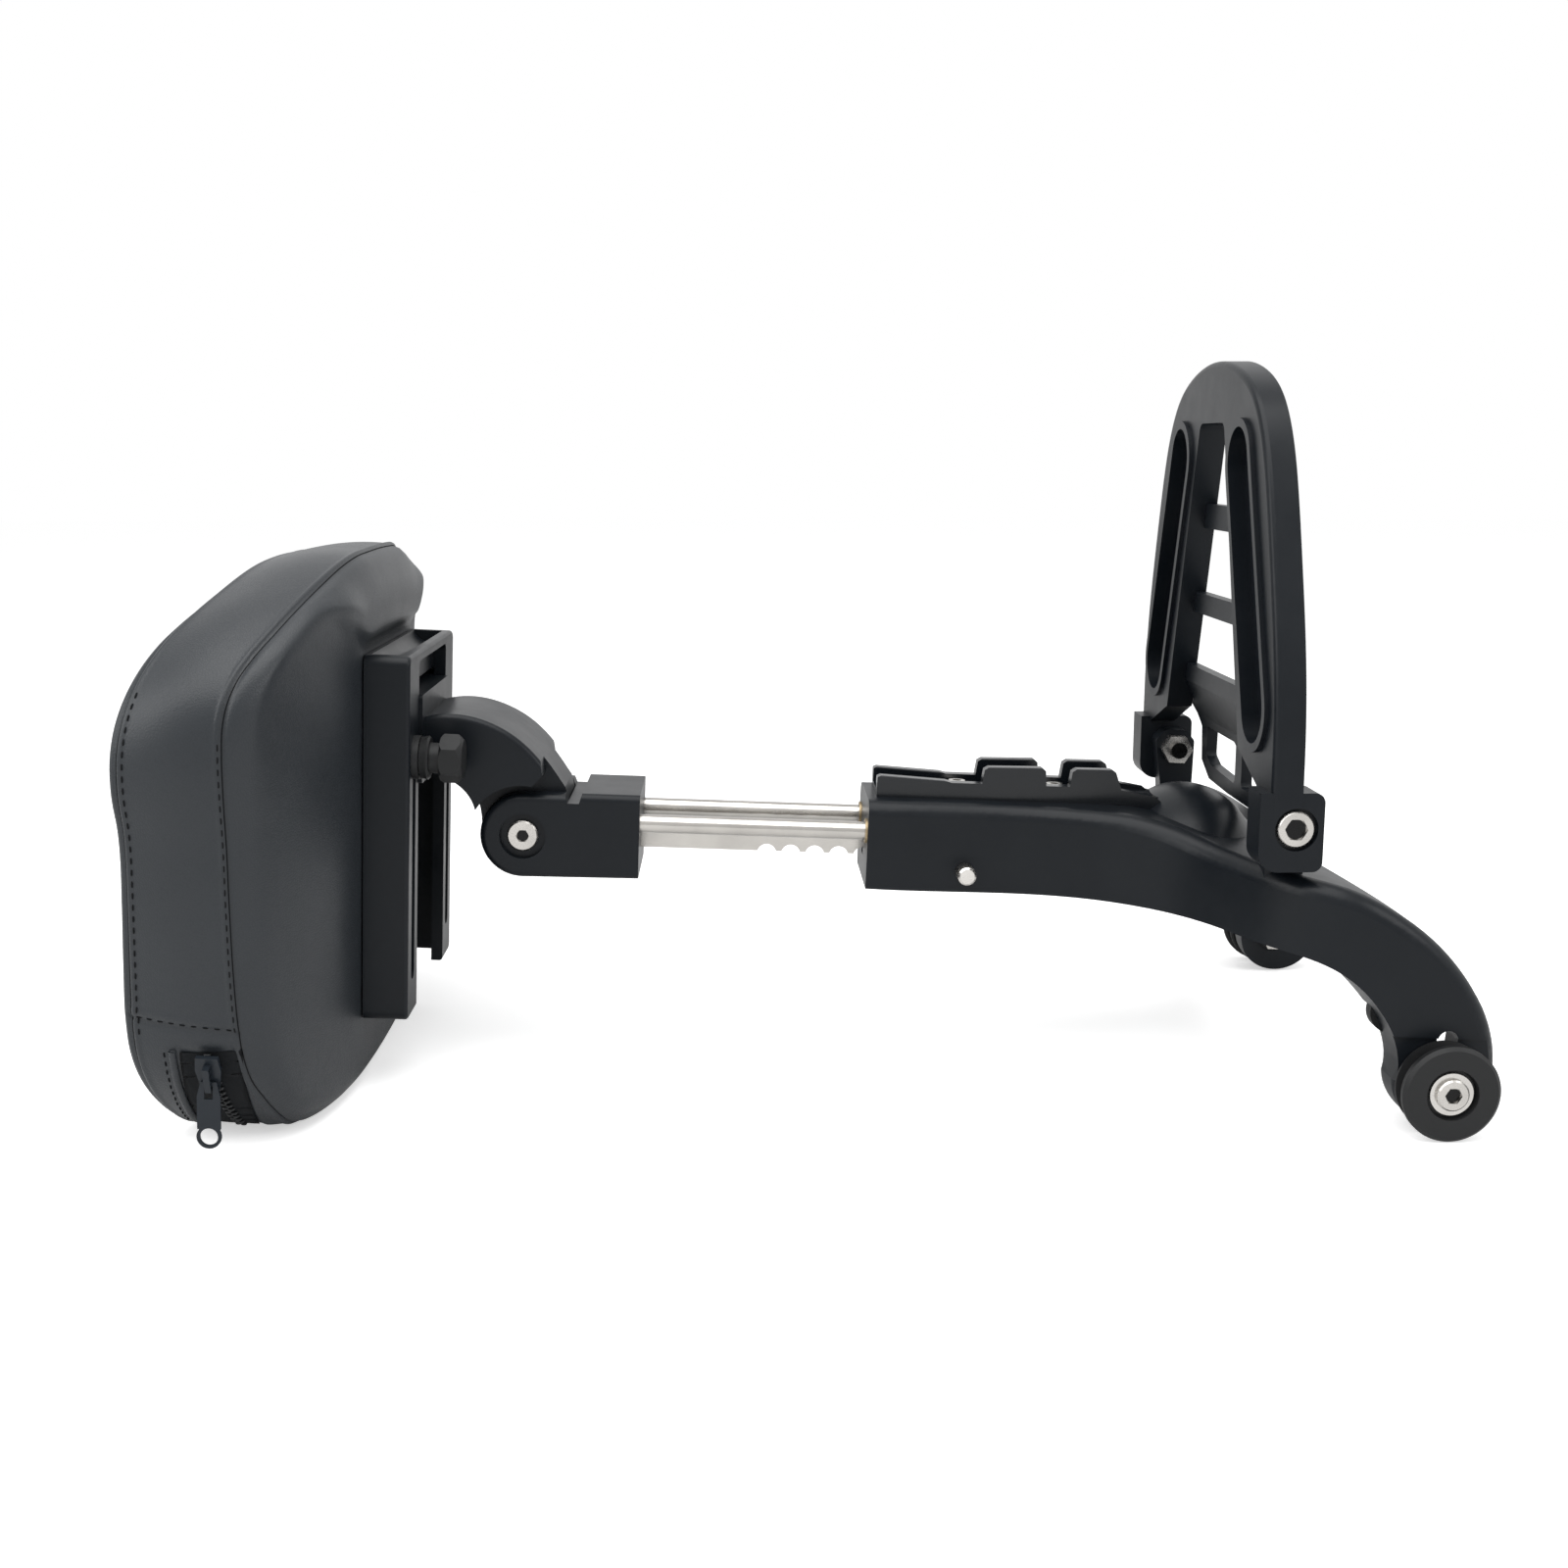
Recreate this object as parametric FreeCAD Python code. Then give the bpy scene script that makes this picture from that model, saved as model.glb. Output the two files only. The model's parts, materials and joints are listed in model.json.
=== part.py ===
"""Adjustable rider backrest for a touring motorcycle, with a folding luggage rack.

Units are millimetres, +Z is up and X runs along the motorcycle, with the pad at
the -X end. Everything is laid out in the frame of the main beam: x = 0 is the
front face of the beam, z = 0 its mid height and y = 0 the plane of symmetry.
The arm and pad are turned about the fold pivot, the rack about its hinge, and
at the end the whole backrest is tipped and lifted so that it stands on the
bottom of the pad and on its two docking bobbins.
"""
import FreeCAD
import Part
import math
import os

os.makedirs("parts", exist_ok=True)

Vector = FreeCAD.Vector

# Stance on the floor
BEAM_TILT = 2.3            # degrees, rear end of the beam lower
ARM_TILT = 0.4             # degrees, arm and pad against the beam
RACK_LEAN = 2.5            # degrees, top of the rack towards the rider
STAND_X = 19.7             # shift along X that centres the backrest on the origin
BOBBIN_R = 19.5            # rim radius of a docking bobbin
BOBBIN_X = 225.0
BOBBIN_Z = -69.2

# Main beam
BEAM_HALF_W = 26.0
BEAM_TOP = 19.5
BEAM_BOTTOM = -19.5
LEG_OUT = 118.0            # outer face of a leg from the middle plane
LEG_IN = 105.0             # inner face of a leg
LEG_END_R = 19.0
CAP_R = 9.0                # round cap on the inner face of a leg
CAP_X = 208.5
CAP_Z = -44.5
CAP_SEAT = 102.4
LEG_FRONT_X = BOBBIN_X - 17.8
LEG_BACK_X = BOBBIN_X + 22.2

# Reach adjuster
ROD_R = 4.0
ROD_Y = 19.0
ROD_Z = 5.0
ROD_END_X = 58.0           # end of the rods inside the beam
ROD_BORE_R = 4.3
ROD_BORE_X = 147.0
BUSH_R = 5.5
BUSH_LEN = 14.0
BUSH_BORE_R = 4.05
BAR_HALF_T = 3.0
BAR_TOP = 1.5
BAR_BOTTOM = -9.1
BAR_END_X = 73.0
BAR_SLOT_X = 161.5
NOTCH_PITCH = 10.8
NOTCH_R = 4.3
NOTCH_FIRST = -4           # in pitches from the front face of the beam
NOTCH_COUNT = 11
PIN_R = 4.0
PIN_X = 43.2
PIN_Z = -10.3
PIN_OUT = 36.0             # near end of the pin, from the middle plane

# Fork block at the front of the rods
PIVOT_X = -150.0
PIVOT_Z = -1.0
FORK_R = 18.5
FORK_HALF_W = 26.0
FORK_REAR_X = -99.5
FORK_GAP = 16.3            # half the distance between the two ears
PIVOT_PIN_R = 5.0

# Tray on the back of the pad
TRAY_BACK_X = -212.2
TRAY_FRONT_X = -193.4
TRAY_HALF_W = 57.0
TRAY_TOP = 78.5
TRAY_BOTTOM = -76.5
RIM_T = 5.3
TRAY_BASE_T = 3.0
TRAY_SCREW_R = 2.5
TRAY_SCREWS = [(-26.0, -45.0), (-26.0, 50.0), (26.0, -45.0), (26.0, 50.0)]
HOLLOW_HALF_W = TRAY_HALF_W - 3.0
WINDOW_HALF_W = TRAY_HALF_W - 22.0
WINDOW_TOP = 74.5
SLOT_HALF_W = 3.6
SLOT_Z0 = -61.0
SLOT_Z1 = 39.5

# Arm
EYE_R = 18.8               # round end of the tongue
TONGUE_HALF_W = 16.0
CHEEK_HALF_W = 30.0
CHEEK_CLEAR_R = 23.0       # underside of the cheeks, about the pivot
PLATE_HALF_W = WINDOW_HALF_W - 0.6
WING_HALF_W = HOLLOW_HALF_W - 0.4
PLATE_Z0 = 22.0
PLATE_Z1 = 60.0
KNOB_Y = TRAY_HALF_W - 12.0
KNOB_Z = 35.4
KNOB_SCREW_R = 3.0
KNOB_HEAD_R = 10.4         # over the corners
HEAD_X0 = -182.2
HEAD_X1 = -172.8

# Pad
PAD_HALF_W = 144.2
PAD_TOP = 121.2            # at the rear edge
PAD_FALL = 0.16            # how fast the top falls towards the front
PAD_FOOT = -106.5          # at the rear edge
PAD_BACK_X = TRAY_BACK_X - 0.3
PAD_DEPTH = 46.0           # in the middle
PAD_HOLLOW = 31.0          # how far the sides reach in front of the middle
BOARD_INSET = 16.0         # from the outline of the pad to the edge of the board
BOARD_T = 9.0

# Zip at the foot of the near side of the cover
ZIP_X = -253.5
ZIP_Z = -71.6              # middle of the slider
ZIP_Y = 11.0 - PAD_HALF_W
ZIP_TILT = 20.5            # degrees, slope of the cover under the slider
CHAIN_T = 1.2
CHAIN_HALF_W = 3.0
SLIDER_FACE = -2.4         # under side of the slider, from the cover
PULL_Y = SLIDER_FACE - 2.9  # bar of the pull in the bridge
PULL_Z = -3.2

# Luggage rack
HINGE_X = 160.0
HINGE_Z = 30.5
HINGE_PIN_R = 4.0
RACK_FRONT = -10.3         # front face, measured from the hinge axis
RACK_BACK = 1.8
FOOT_IN = 93.5
FOOT_OUT = 110.0
FOOT_FRONT = -14.7
FOOT_BACK = 10.8
FOOT_LOW = -17.0
FOOT_TOP = 14.5
RUNG_FRONT = -3.0          # front face of the rungs and the bridge
EAR_IN = 83.0
EAR_OUT = 93.0
EAR_CLEAR = 12.0           # inner corner of a foot, above the hinge axis
RACK_TOP = 183.0


def vec(x, y, z):
    return Vector(x, y, z)


def box(x0, x1, y0, y1, z0, z1):
    """Block between two corners."""
    return Part.makeBox(x1 - x0, y1 - y0, z1 - z0, vec(x0, y0, z0))


def rod(start, direction, radius, length):
    """Cylinder from a start point along a direction."""
    return Part.makeCylinder(radius, length, vec(*start), vec(*direction))


def along_y(x, z, radius, y0, y1):
    """Cylinder on an axis across the beam."""
    return rod((x, y0, z), (0, 1, 0), radius, y1 - y0)


def line(a, b):
    return Part.makeLine(a, b)


def curve(points):
    """Smooth edge through the points."""
    spline = Part.BSplineCurve()
    spline.interpolate(points)
    return spline.toShape()


def extrude(wire, direction):
    return Part.Face(wire).extrude(vec(*direction))


def polygon(points):
    return Part.makePolygon(points + [points[0]])


def side_plate(points, y0, y1):
    """Polygon of (x, z) points as a plate between two depths."""
    return extrude(polygon([vec(x, y0, z) for x, z in points]), (0, y1 - y0, 0))


def front_plate(points, x0, x1):
    """Polygon of (y, z) points as a plate between two stations."""
    return extrude(polygon([vec(x0, y, z) for y, z in points]), (x1 - x0, 0, 0))


def mirrored(shape):
    """The same shape on the other side of the middle plane."""
    return shape.mirror(vec(0, 0, 0), vec(0, 1, 0))


def mirror_points(points):
    """Points given from the middle outwards, run from one side to the other."""
    return [(-y, other) for y, other in reversed(points[1:])] + points


def both_sides(shape):
    return Part.makeCompound([shape, mirrored(shape)])


def union(shapes):
    return shapes[0].fuse(shapes[1:]).removeSplitter()


def cut(shape, *tools):
    for tool in tools:
        shape = shape.cut(tool)
    return shape


def soften(shape, radius, wanted):
    """Round the wanted edges, with a smaller radius where the full one does not fit."""
    edges = [edge for edge in shape.Edges if wanted(edge)]
    if not edges:
        return shape
    for factor in (1.0, 0.7, 0.45, 0.25):
        try:
            rounded = shape.makeFillet(radius * factor, edges)
        except Part.OCCError:
            continue
        if rounded.isValid() and rounded.Volume > 0.5 * shape.Volume:
            return rounded
    return shape


def is_along(edge, axis, length):
    """True for a straight edge on the axis at least as long as length."""
    if not isinstance(edge.Curve, (Part.Line, Part.LineSegment)):
        return False
    if edge.Length < length:
        return False
    direction = edge.tangentAt(edge.FirstParameter)
    return abs(direction.dot(vec(*axis))) > 0.999


def hexagon(x, y, z, flats, length):
    """Hexagonal prism on an axis across the beam."""
    reach = flats / math.sqrt(3)
    corners = []
    for step in range(6):
        angle = math.radians(60 * step)
        corners.append(vec(x + reach * math.cos(angle), y, z + reach * math.sin(angle)))
    return extrude(polygon(corners), (0, length, 0))


def socket_screw(x, z, face, head_r, head_t, shank_r, shank, socket):
    """Screw across the beam: its head on the -Y side of the plane y = face."""
    head = along_y(x, z, head_r, face - head_t, face)
    rim = [edge for edge in head.Edges if abs(edge.CenterOfMass.y - (face - head_t)) < 0.01]
    head = head.makeChamfer(0.6, rim)
    body = head.fuse(along_y(x, z, shank_r, face, face + shank))
    return body.cut(hexagon(x, face - head_t - 0.1, z, socket, head_t * 0.6 + 0.1))


def turn(shape, x, z, degrees):
    """Turn a shape about an axis across the beam."""
    shape.rotate(vec(x, 0, z), vec(0, 1, 0), degrees)
    return shape


# Main beam: the side outline and the plan outline, each extruded, cross to
# form a beam that flares into two legs. The tops of its outer edges are round.
def beam_side():
    back = [
        (108, BEAM_TOP), (125, 18), (138, 15), (148, 12.2), (160, 10.6), (173, 9.4), (185, 7), (196, 2.6),
        (207, -3.6), (218.4, -11.8), (228, -21), (236, -31), (242, -41), (245.6, -50.5), (LEG_BACK_X, BOBBIN_Z),
    ]
    under = [
        (LEG_FRONT_X, BOBBIN_Z), (206.8, -58), (203.3, -48.5), (197.6, -39.8), (190, -31.6), (179, -24.4),
        (168.7, -21.2), (156, -19.9), (143, -19.3), (125, -19), (70, -19.3), (0, BEAM_BOTTOM),
    ]
    y = -140.0
    right = vec(LEG_BACK_X, y, BOBBIN_Z)
    low = vec(0.5 * (LEG_FRONT_X + LEG_BACK_X), y, BOBBIN_Z - LEG_END_R)
    left = vec(LEG_FRONT_X, y, BOBBIN_Z)
    edges = [
        line(vec(0, y, BEAM_TOP), vec(108, y, BEAM_TOP)),
        curve([vec(x, y, z) for x, z in back]),
        Part.Arc(right, low, left).toShape(),
        curve([vec(x, y, z) for x, z in under]),
        line(vec(0, y, BEAM_BOTTOM), vec(0, y, BEAM_TOP)),
    ]
    return extrude(Part.Wire(edges), (0, 280, 0))


def beam_plan():
    outer = [
        (0, BEAM_HALF_W), (40, 26), (75, 28), (100, 35), (113, 42), (125, 51), (136, 63), (145, 77), (152, 90),
        (160, 101), (169, 109), (180, 114.5), (195, LEG_OUT - 0.5), (210, LEG_OUT), (252, LEG_OUT),
    ]
    inner = [
        (252, LEG_IN), (222, LEG_IN - 0.6), (207, 100), (198, 90), (191, 74), (186, 55), (181, 30), (178.5, 0),
    ]
    z = -100.0
    out_near = curve([vec(x, -y, z) for x, y in outer])
    in_near = curve([vec(x, -y, z) for x, y in inner] + [vec(x, y, z) for x, y in reversed(inner[:-1])])
    out_far = curve([vec(x, y, z) for x, y in reversed(outer)])
    edges = [
        out_near,
        line(vec(252, -LEG_OUT, z), vec(252, -LEG_IN, z)),
        in_near,
        line(vec(252, LEG_IN, z), vec(252, LEG_OUT, z)),
        out_far,
        line(vec(0, BEAM_HALF_W, z), vec(0, -BEAM_HALF_W, z)),
    ]
    return extrude(Part.Wire(edges), (0, 0, 140))


def is_shoulder(edge):
    """Top outer edge of the beam and legs."""
    centre = edge.CenterOfMass
    box_ = edge.BoundBox
    return box_.XLength > 60 and abs(centre.y) > 24 and centre.z > -30 and box_.ZMax > 10


def hinge_ear():
    """Upright ear on the shoulder of the yoke that carries one rack hinge."""
    profile = [
        (HINGE_X - 9.5, HINGE_Z + 4), (HINGE_X - 5, HINGE_Z + 9), (HINGE_X + 5, HINGE_Z + 9),
        (HINGE_X + 9.5, HINGE_Z + 4), (HINGE_X + 10, 2), (HINGE_X - 5, 2), (HINGE_X - 6, 12),
    ]
    ear = side_plate(profile, -EAR_OUT, -EAR_IN)
    return soften(ear, 3.0, lambda edge: is_along(edge, (0, 1, 0), 5) and edge.CenterOfMass.z > HINGE_Z)


def main_beam():
    body = beam_side().common(beam_plan())
    body = soften(body, 6.5, is_shoulder)
    dome = Part.makeSphere(30.0, vec(146, 0, 0))
    stretch = FreeCAD.Matrix()
    stretch.A22 = 1.5
    dome = dome.transformGeometry(stretch).common(box(110, 180, -60, 60, 0, 40))
    dome.translate(vec(0, 0, -2.5))
    ear = hinge_ear()
    body = union([body, dome, ear, mirrored(ear)])
    tools = [box(-1, BAR_SLOT_X, -BAR_HALF_T - 0.35, BAR_HALF_T + 0.35, BAR_BOTTOM - 0.4, BAR_TOP + 0.4)]
    tools.append(along_y(PIN_X, PIN_Z, PIN_R + 0.1, -60, 60))
    for side in (-1, 1):
        tools.append(rod((-1, side * ROD_Y, ROD_Z), (1, 0, 0), ROD_BORE_R, ROD_BORE_X + 1))
        tools.append(rod((-1, side * ROD_Y, ROD_Z), (1, 0, 0), BUSH_R, BUSH_LEN + 1))
        tools.append(along_y(HINGE_X, HINGE_Z, HINGE_PIN_R, *sorted((side * 82, side * 94))))
        tools.append(leg_slot(side))
        tools.append(leg_recess(side))
        inner = sorted((side * (LEG_IN - 12), side * LEG_IN))
        tools.append(along_y(BOBBIN_X, BOBBIN_Z, 9.0, inner[0], inner[1]))
        tools.append(along_y(CAP_X, CAP_Z, CAP_R, *sorted((side * 85.0, side * CAP_SEAT))))
    for x in (41.0, 85.0):
        tools.append(rod((x, 0, BEAM_TOP + 1), (0, 0, -1), 3.0, 13.0))
    return cut(body, *tools)


def leg_slot(side):
    """Upright slot through a leg, which sets the docking height."""
    low, high = BOBBIN_Z, BOBBIN_Z + 18.0
    y0, y1 = sorted((side * 100.0, side * 125.0))
    web = [(BOBBIN_X - 4.2, low), (BOBBIN_X + 4.2, low), (BOBBIN_X + 5.2, high), (BOBBIN_X - 3.2, high)]
    return union([
        along_y(BOBBIN_X + 1, high, 4.2, y0, y1),
        along_y(BOBBIN_X, low, 4.2, y0, y1),
        side_plate(web, y0, y1),
    ])


def leg_recess(side):
    """Shallow machined step round the foot of a leg."""
    y0, y1 = sorted((side * (LEG_OUT - 1.5), side * (LEG_OUT + 10)))
    return side_plate([(195, -120), (260, -120), (260, -51), (195, -49.5)], y0, y1)


def docking_bobbin():
    """Spool with a waist for the latch of the mount; its rim has a chamfer and the front is dished."""
    face = LEG_OUT - 1.5
    points = [
        (4.2, 0), (BOBBIN_R - 2.0, 0), (BOBBIN_R - 1.0, 1.0), (BOBBIN_R - 1.0, 2.0), (12.5, 3.0), (12.5, 7.6),
        (BOBBIN_R - 1.2, 8.6), (BOBBIN_R, 9.8), (BOBBIN_R, 12.0), (BOBBIN_R - 1.4, 13.4), (10.4, 13.4),
        (9.6, 10.6), (4.2, 10.6),
    ]
    ring = polygon([vec(BOBBIN_X + r, -face - t, BOBBIN_Z) for r, t in points])
    return Part.Face(ring).revolve(vec(BOBBIN_X, 0, BOBBIN_Z), vec(0, 1, 0), 360)


def bobbin_washer():
    face = -(LEG_OUT - 1.5) - 10.6
    ring = along_y(BOBBIN_X, BOBBIN_Z, 8.6, face - 1.4, face)
    return ring.cut(along_y(BOBBIN_X, BOBBIN_Z, 4.15, face - 2, face + 1))


def bobbin_screw():
    face = -(LEG_OUT - 1.5) - 12.0
    return socket_screw(BOBBIN_X, BOBBIN_Z, face, 6.4, 2.0, 4.0, 32.0, 6.0)


def bobbin_nut():
    nut = hexagon(BOBBIN_X, -LEG_IN, BOBBIN_Z, 13.0, 6.5)
    return nut.cut(along_y(BOBBIN_X, BOBBIN_Z, 4.0, -LEG_IN - 1, -LEG_IN + 8))


def leg_cap():
    """Round cap screwed into the inner face of a leg."""
    cap = along_y(CAP_X, CAP_Z, CAP_R, -CAP_SEAT, -CAP_SEAT + 6.4)
    rim = [edge for edge in cap.Edges if abs(edge.CenterOfMass.y + CAP_SEAT - 6.4) < 0.01]
    return cap.makeChamfer(1.2, rim)


# Twin rails on the beam, with two raised tabs each. When the rack is folded
# down its rungs drop into the dips and the tabs stand up through its windows.
def rail_bracket(beam):
    profile = [
        (4, 12), (4, 28.2), (5.6, 29), (34, 27.6), (37, 26.8), (50.4, 26.8), (51.2, 33), (53.2, 34.3),
        (76.6, 34.8), (78.4, 33.4), (78.9, 26.8), (89.4, 26.8), (90.2, 33.4), (92.2, 34.8), (107.6, 35),
        (109.6, 33.8), (112.5, 26), (128, 23.5), (131.5, 20.5), (131.5, 12),
    ]
    rail = side_plate(profile, -14.0, -8.5)
    rail = soften(rail, 0.9, lambda edge: edge.BoundBox.XLength > 15 and edge.CenterOfMass.z > 26)
    web = box(4, 131.5, -9, 9, 12, 22.5)
    bracket = union([rail, mirrored(rail), web])
    for x in (41.0, 85.0):
        bracket = bracket.cut(rod((x, 0, 10), (0, 0, 1), 3.0, 20))
    slab = box(0, 108.5, -40, 40, 0, BEAM_TOP)
    return bracket.cut(slab).cut(beam)


def rail_screw(x):
    head = Part.makeCylinder(5.0, 3.2, vec(x, 0, 22.5))
    rim = [edge for edge in head.Edges if abs(edge.CenterOfMass.z - 25.7) < 0.01]
    head = head.makeChamfer(1.3, rim)
    shank = rod((x, 0, 22.5), (0, 0, -1), 3.0, 14.0)
    return head.fuse(shank).cut(Part.makeCylinder(1.9, 2.0, vec(x, 0, 24.0)))


def rod_bush(side):
    sleeve = rod((0, side * ROD_Y, ROD_Z), (1, 0, 0), BUSH_R, BUSH_LEN)
    collar = rod((-0.9, side * ROD_Y, ROD_Z), (1, 0, 0), BUSH_R, 0.9)
    bore = rod((-2, side * ROD_Y, ROD_Z), (1, 0, 0), BUSH_BORE_R, BUSH_LEN + 4)
    return union([sleeve, collar]).cut(bore)


def lock_pin():
    """Push-through pin; the flat on its top lets the notched bar pass."""
    pin = along_y(PIN_X, PIN_Z, PIN_R, -PIN_OUT, 25.0)
    pin = pin.makeChamfer(0.8, [edge for edge in pin.Edges if edge.Length < 30])
    half = BAR_HALF_T + 1.5
    flat = box(PIN_X - 6, PIN_X + 6, -half, half, BAR_BOTTOM - 0.5, 0)
    groove = along_y(PIN_X, PIN_Z, PIN_R + 1, -33.0, -32.0).cut(along_y(PIN_X, PIN_Z, PIN_R - 0.5, -34, -31))
    return pin.cut(flat).cut(groove)


def guide_rod(side):
    start = FORK_REAR_X - 16.0
    bar = rod((start, side * ROD_Y, ROD_Z), (1, 0, 0), ROD_R, ROD_END_X - start)
    ends = [edge for edge in bar.Edges if abs(edge.CenterOfMass.x - ROD_END_X) < 0.01 and edge.Length > 20]
    return bar.makeChamfer(0.8, ends)


def lock_bar():
    """Flat bar between the rods, scalloped along its lower edge."""
    bar = box(FORK_REAR_X - 16.0, BAR_END_X, -BAR_HALF_T, BAR_HALF_T, BAR_BOTTOM, BAR_TOP)
    for step in range(NOTCH_COUNT):
        x = (NOTCH_FIRST + step) * NOTCH_PITCH
        bar = bar.cut(along_y(x, PIN_Z, NOTCH_R, -5, 5))
    return bar


def fork_block():
    """Fork with two ears round the pivot; rods and notched bar are held in its rear."""
    y = -FORK_HALF_W
    top = PIVOT_Z + FORK_R
    low = PIVOT_Z - FORK_R
    step = -124.6
    edges = [
        Part.Arc(vec(PIVOT_X, y, top), vec(PIVOT_X - FORK_R, y, PIVOT_Z), vec(PIVOT_X, y, low)).toShape(),
        line(vec(PIVOT_X, y, low), vec(FORK_REAR_X, y, low + 0.6)),
        line(vec(FORK_REAR_X, y, low + 0.6), vec(FORK_REAR_X, y, top + 0.8)),
        line(vec(FORK_REAR_X, y, top + 0.8), vec(step, y, top + 0.8)),
        line(vec(step, y, top + 0.8), vec(step - 1.2, y, top - 3.4)),
        line(vec(step - 1.2, y, top - 3.4), vec(step - 6.2, y, top - 3.4)),
        line(vec(step - 6.2, y, top - 3.4), vec(step - 7.4, y, top)),
        line(vec(step - 7.4, y, top), vec(PIVOT_X, y, top)),
    ]
    block = extrude(Part.Wire(edges), (0, 2 * FORK_HALF_W, 0))
    block = soften(block, 4.5, lambda edge: is_along(edge, (1, 0, 0), 14) and edge.CenterOfMass.z > PIVOT_Z + 12)
    gap = along_y(PIVOT_X, PIVOT_Z, FORK_R + 1.3, -FORK_GAP, FORK_GAP)
    gap = gap.fuse(box(PIVOT_X - 30, PIVOT_X + 18, -FORK_GAP, FORK_GAP, -30, 30))
    gap = gap.fuse(box(PIVOT_X, -130.7, -FORK_GAP, FORK_GAP, PIVOT_Z, 30))
    block = block.cut(gap)
    tools = [along_y(PIVOT_X, PIVOT_Z, PIVOT_PIN_R, -30, 30)]
    for side in (-1, 1):
        y0, y1 = sorted((side * (FORK_HALF_W - 3.0), side * (FORK_HALF_W + 2)))
        tools.append(along_y(PIVOT_X, PIVOT_Z, 10.0, y0, y1))
        tools.append(rod((FORK_REAR_X - 16, side * ROD_Y, ROD_Z), (1, 0, 0), ROD_R, 20))
    tools.append(box(FORK_REAR_X - 16, FORK_REAR_X + 1, -BAR_HALF_T, BAR_HALF_T, BAR_BOTTOM, BAR_TOP))
    return cut(block, *tools)


def pivot_pin():
    """Hollow shaft through the ears and the arm."""
    half = FORK_HALF_W - 3.0
    shaft = along_y(PIVOT_X, PIVOT_Z, PIVOT_PIN_R, -half, half)
    return shaft.cut(along_y(PIVOT_X, PIVOT_Z, 3.0, -half - 1, half + 1))


def pivot_screw():
    return socket_screw(PIVOT_X, PIVOT_Z, -(FORK_HALF_W - 3.0), 6.7, 2.4, 3.0, 15.0, 5.0)


# Arm: an arched gooseneck with a narrow tongue between the ears of the fork,
# two broad cheeks over them, and a plate that slides in the window of the tray.
def arm_arch():
    """Full width of the gooseneck, from the plate to the round end at the pivot."""
    top = [
        (-193, 49.6), (-183, 51.6), (-172, 50.8), (-162, 47.6), (-152.5, 42.2), (-144.5, 35), (-138, 27), (-132.8, 19.6),
    ]
    throat = [(PIVOT_X - EYE_R, PIVOT_Z), (-169.6, 9), (-172.4, 16), (-181, 23.4), (-193, 27)]
    y = -CHEEK_HALF_W
    flank = PIVOT_X + EYE_R
    low = vec(PIVOT_X, y, PIVOT_Z - EYE_R)
    edges = [
        curve([vec(x, y, z) for x, z in top]),
        line(vec(-132.8, y, 19.6), vec(flank, y, 14.0)),
        line(vec(flank, y, 14.0), vec(flank, y, PIVOT_Z)),
        Part.Arc(vec(flank, y, PIVOT_Z), low, vec(PIVOT_X - EYE_R, y, PIVOT_Z)).toShape(),
        curve([vec(x, y, z) for x, z in throat]),
        line(vec(-193, y, 27), vec(-193, y, 49.6)),
    ]
    return extrude(Part.Wire(edges), (0, 2 * CHEEK_HALF_W, 0))


def cheek_relief(side):
    """Space beside the tongue for one ear of the fork."""
    y0, y1 = sorted((side * TONGUE_HALF_W, side * (CHEEK_HALF_W + 5)))
    tip = [(-146.5, 60), (-142.4, 32), (-141.6, 26.6), (-146.0, 21.6), (PIVOT_X, PIVOT_Z), (-115, PIVOT_Z), (-115, 60)]
    return union([along_y(PIVOT_X, PIVOT_Z, CHEEK_CLEAR_R, y0, y1), side_plate(tip, y0, y1)])


def is_arch_edge(edge):
    """Long upper edge of the gooseneck."""
    return edge.BoundBox.YLength < 0.1 and edge.BoundBox.XLength > 30 and edge.CenterOfMass.z > 38


def arm_casting():
    back = TRAY_FRONT_X - RIM_T - 0.5
    plate = box(back - 0.1, -192.0, -PLATE_HALF_W, PLATE_HALF_W, PLATE_Z0, PLATE_Z1)
    plate = soften(plate, 2.0, lambda edge: is_along(edge, (1, 0, 0), 5))
    wing = box(back - 3.5, back, -WING_HALF_W, WING_HALF_W, PLATE_Z0, PLATE_Z1)
    wing = soften(wing, 5.5, lambda edge: is_along(edge, (1, 0, 0), 3))
    arch = cut(arm_arch(), cheek_relief(-1), cheek_relief(1))
    arch = soften(arch, 2.4, is_arch_edge)
    body = union([arch, plate, wing])
    tools = [along_y(PIVOT_X, PIVOT_Z, PIVOT_PIN_R + 0.06, -40, 40)]
    for side in (-1, 1):
        tools.append(rod((back - 5, side * KNOB_Y, KNOB_Z), (1, 0, 0), KNOB_SCREW_R + 0.1, 10))
    return cut(body, *tools)


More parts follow.
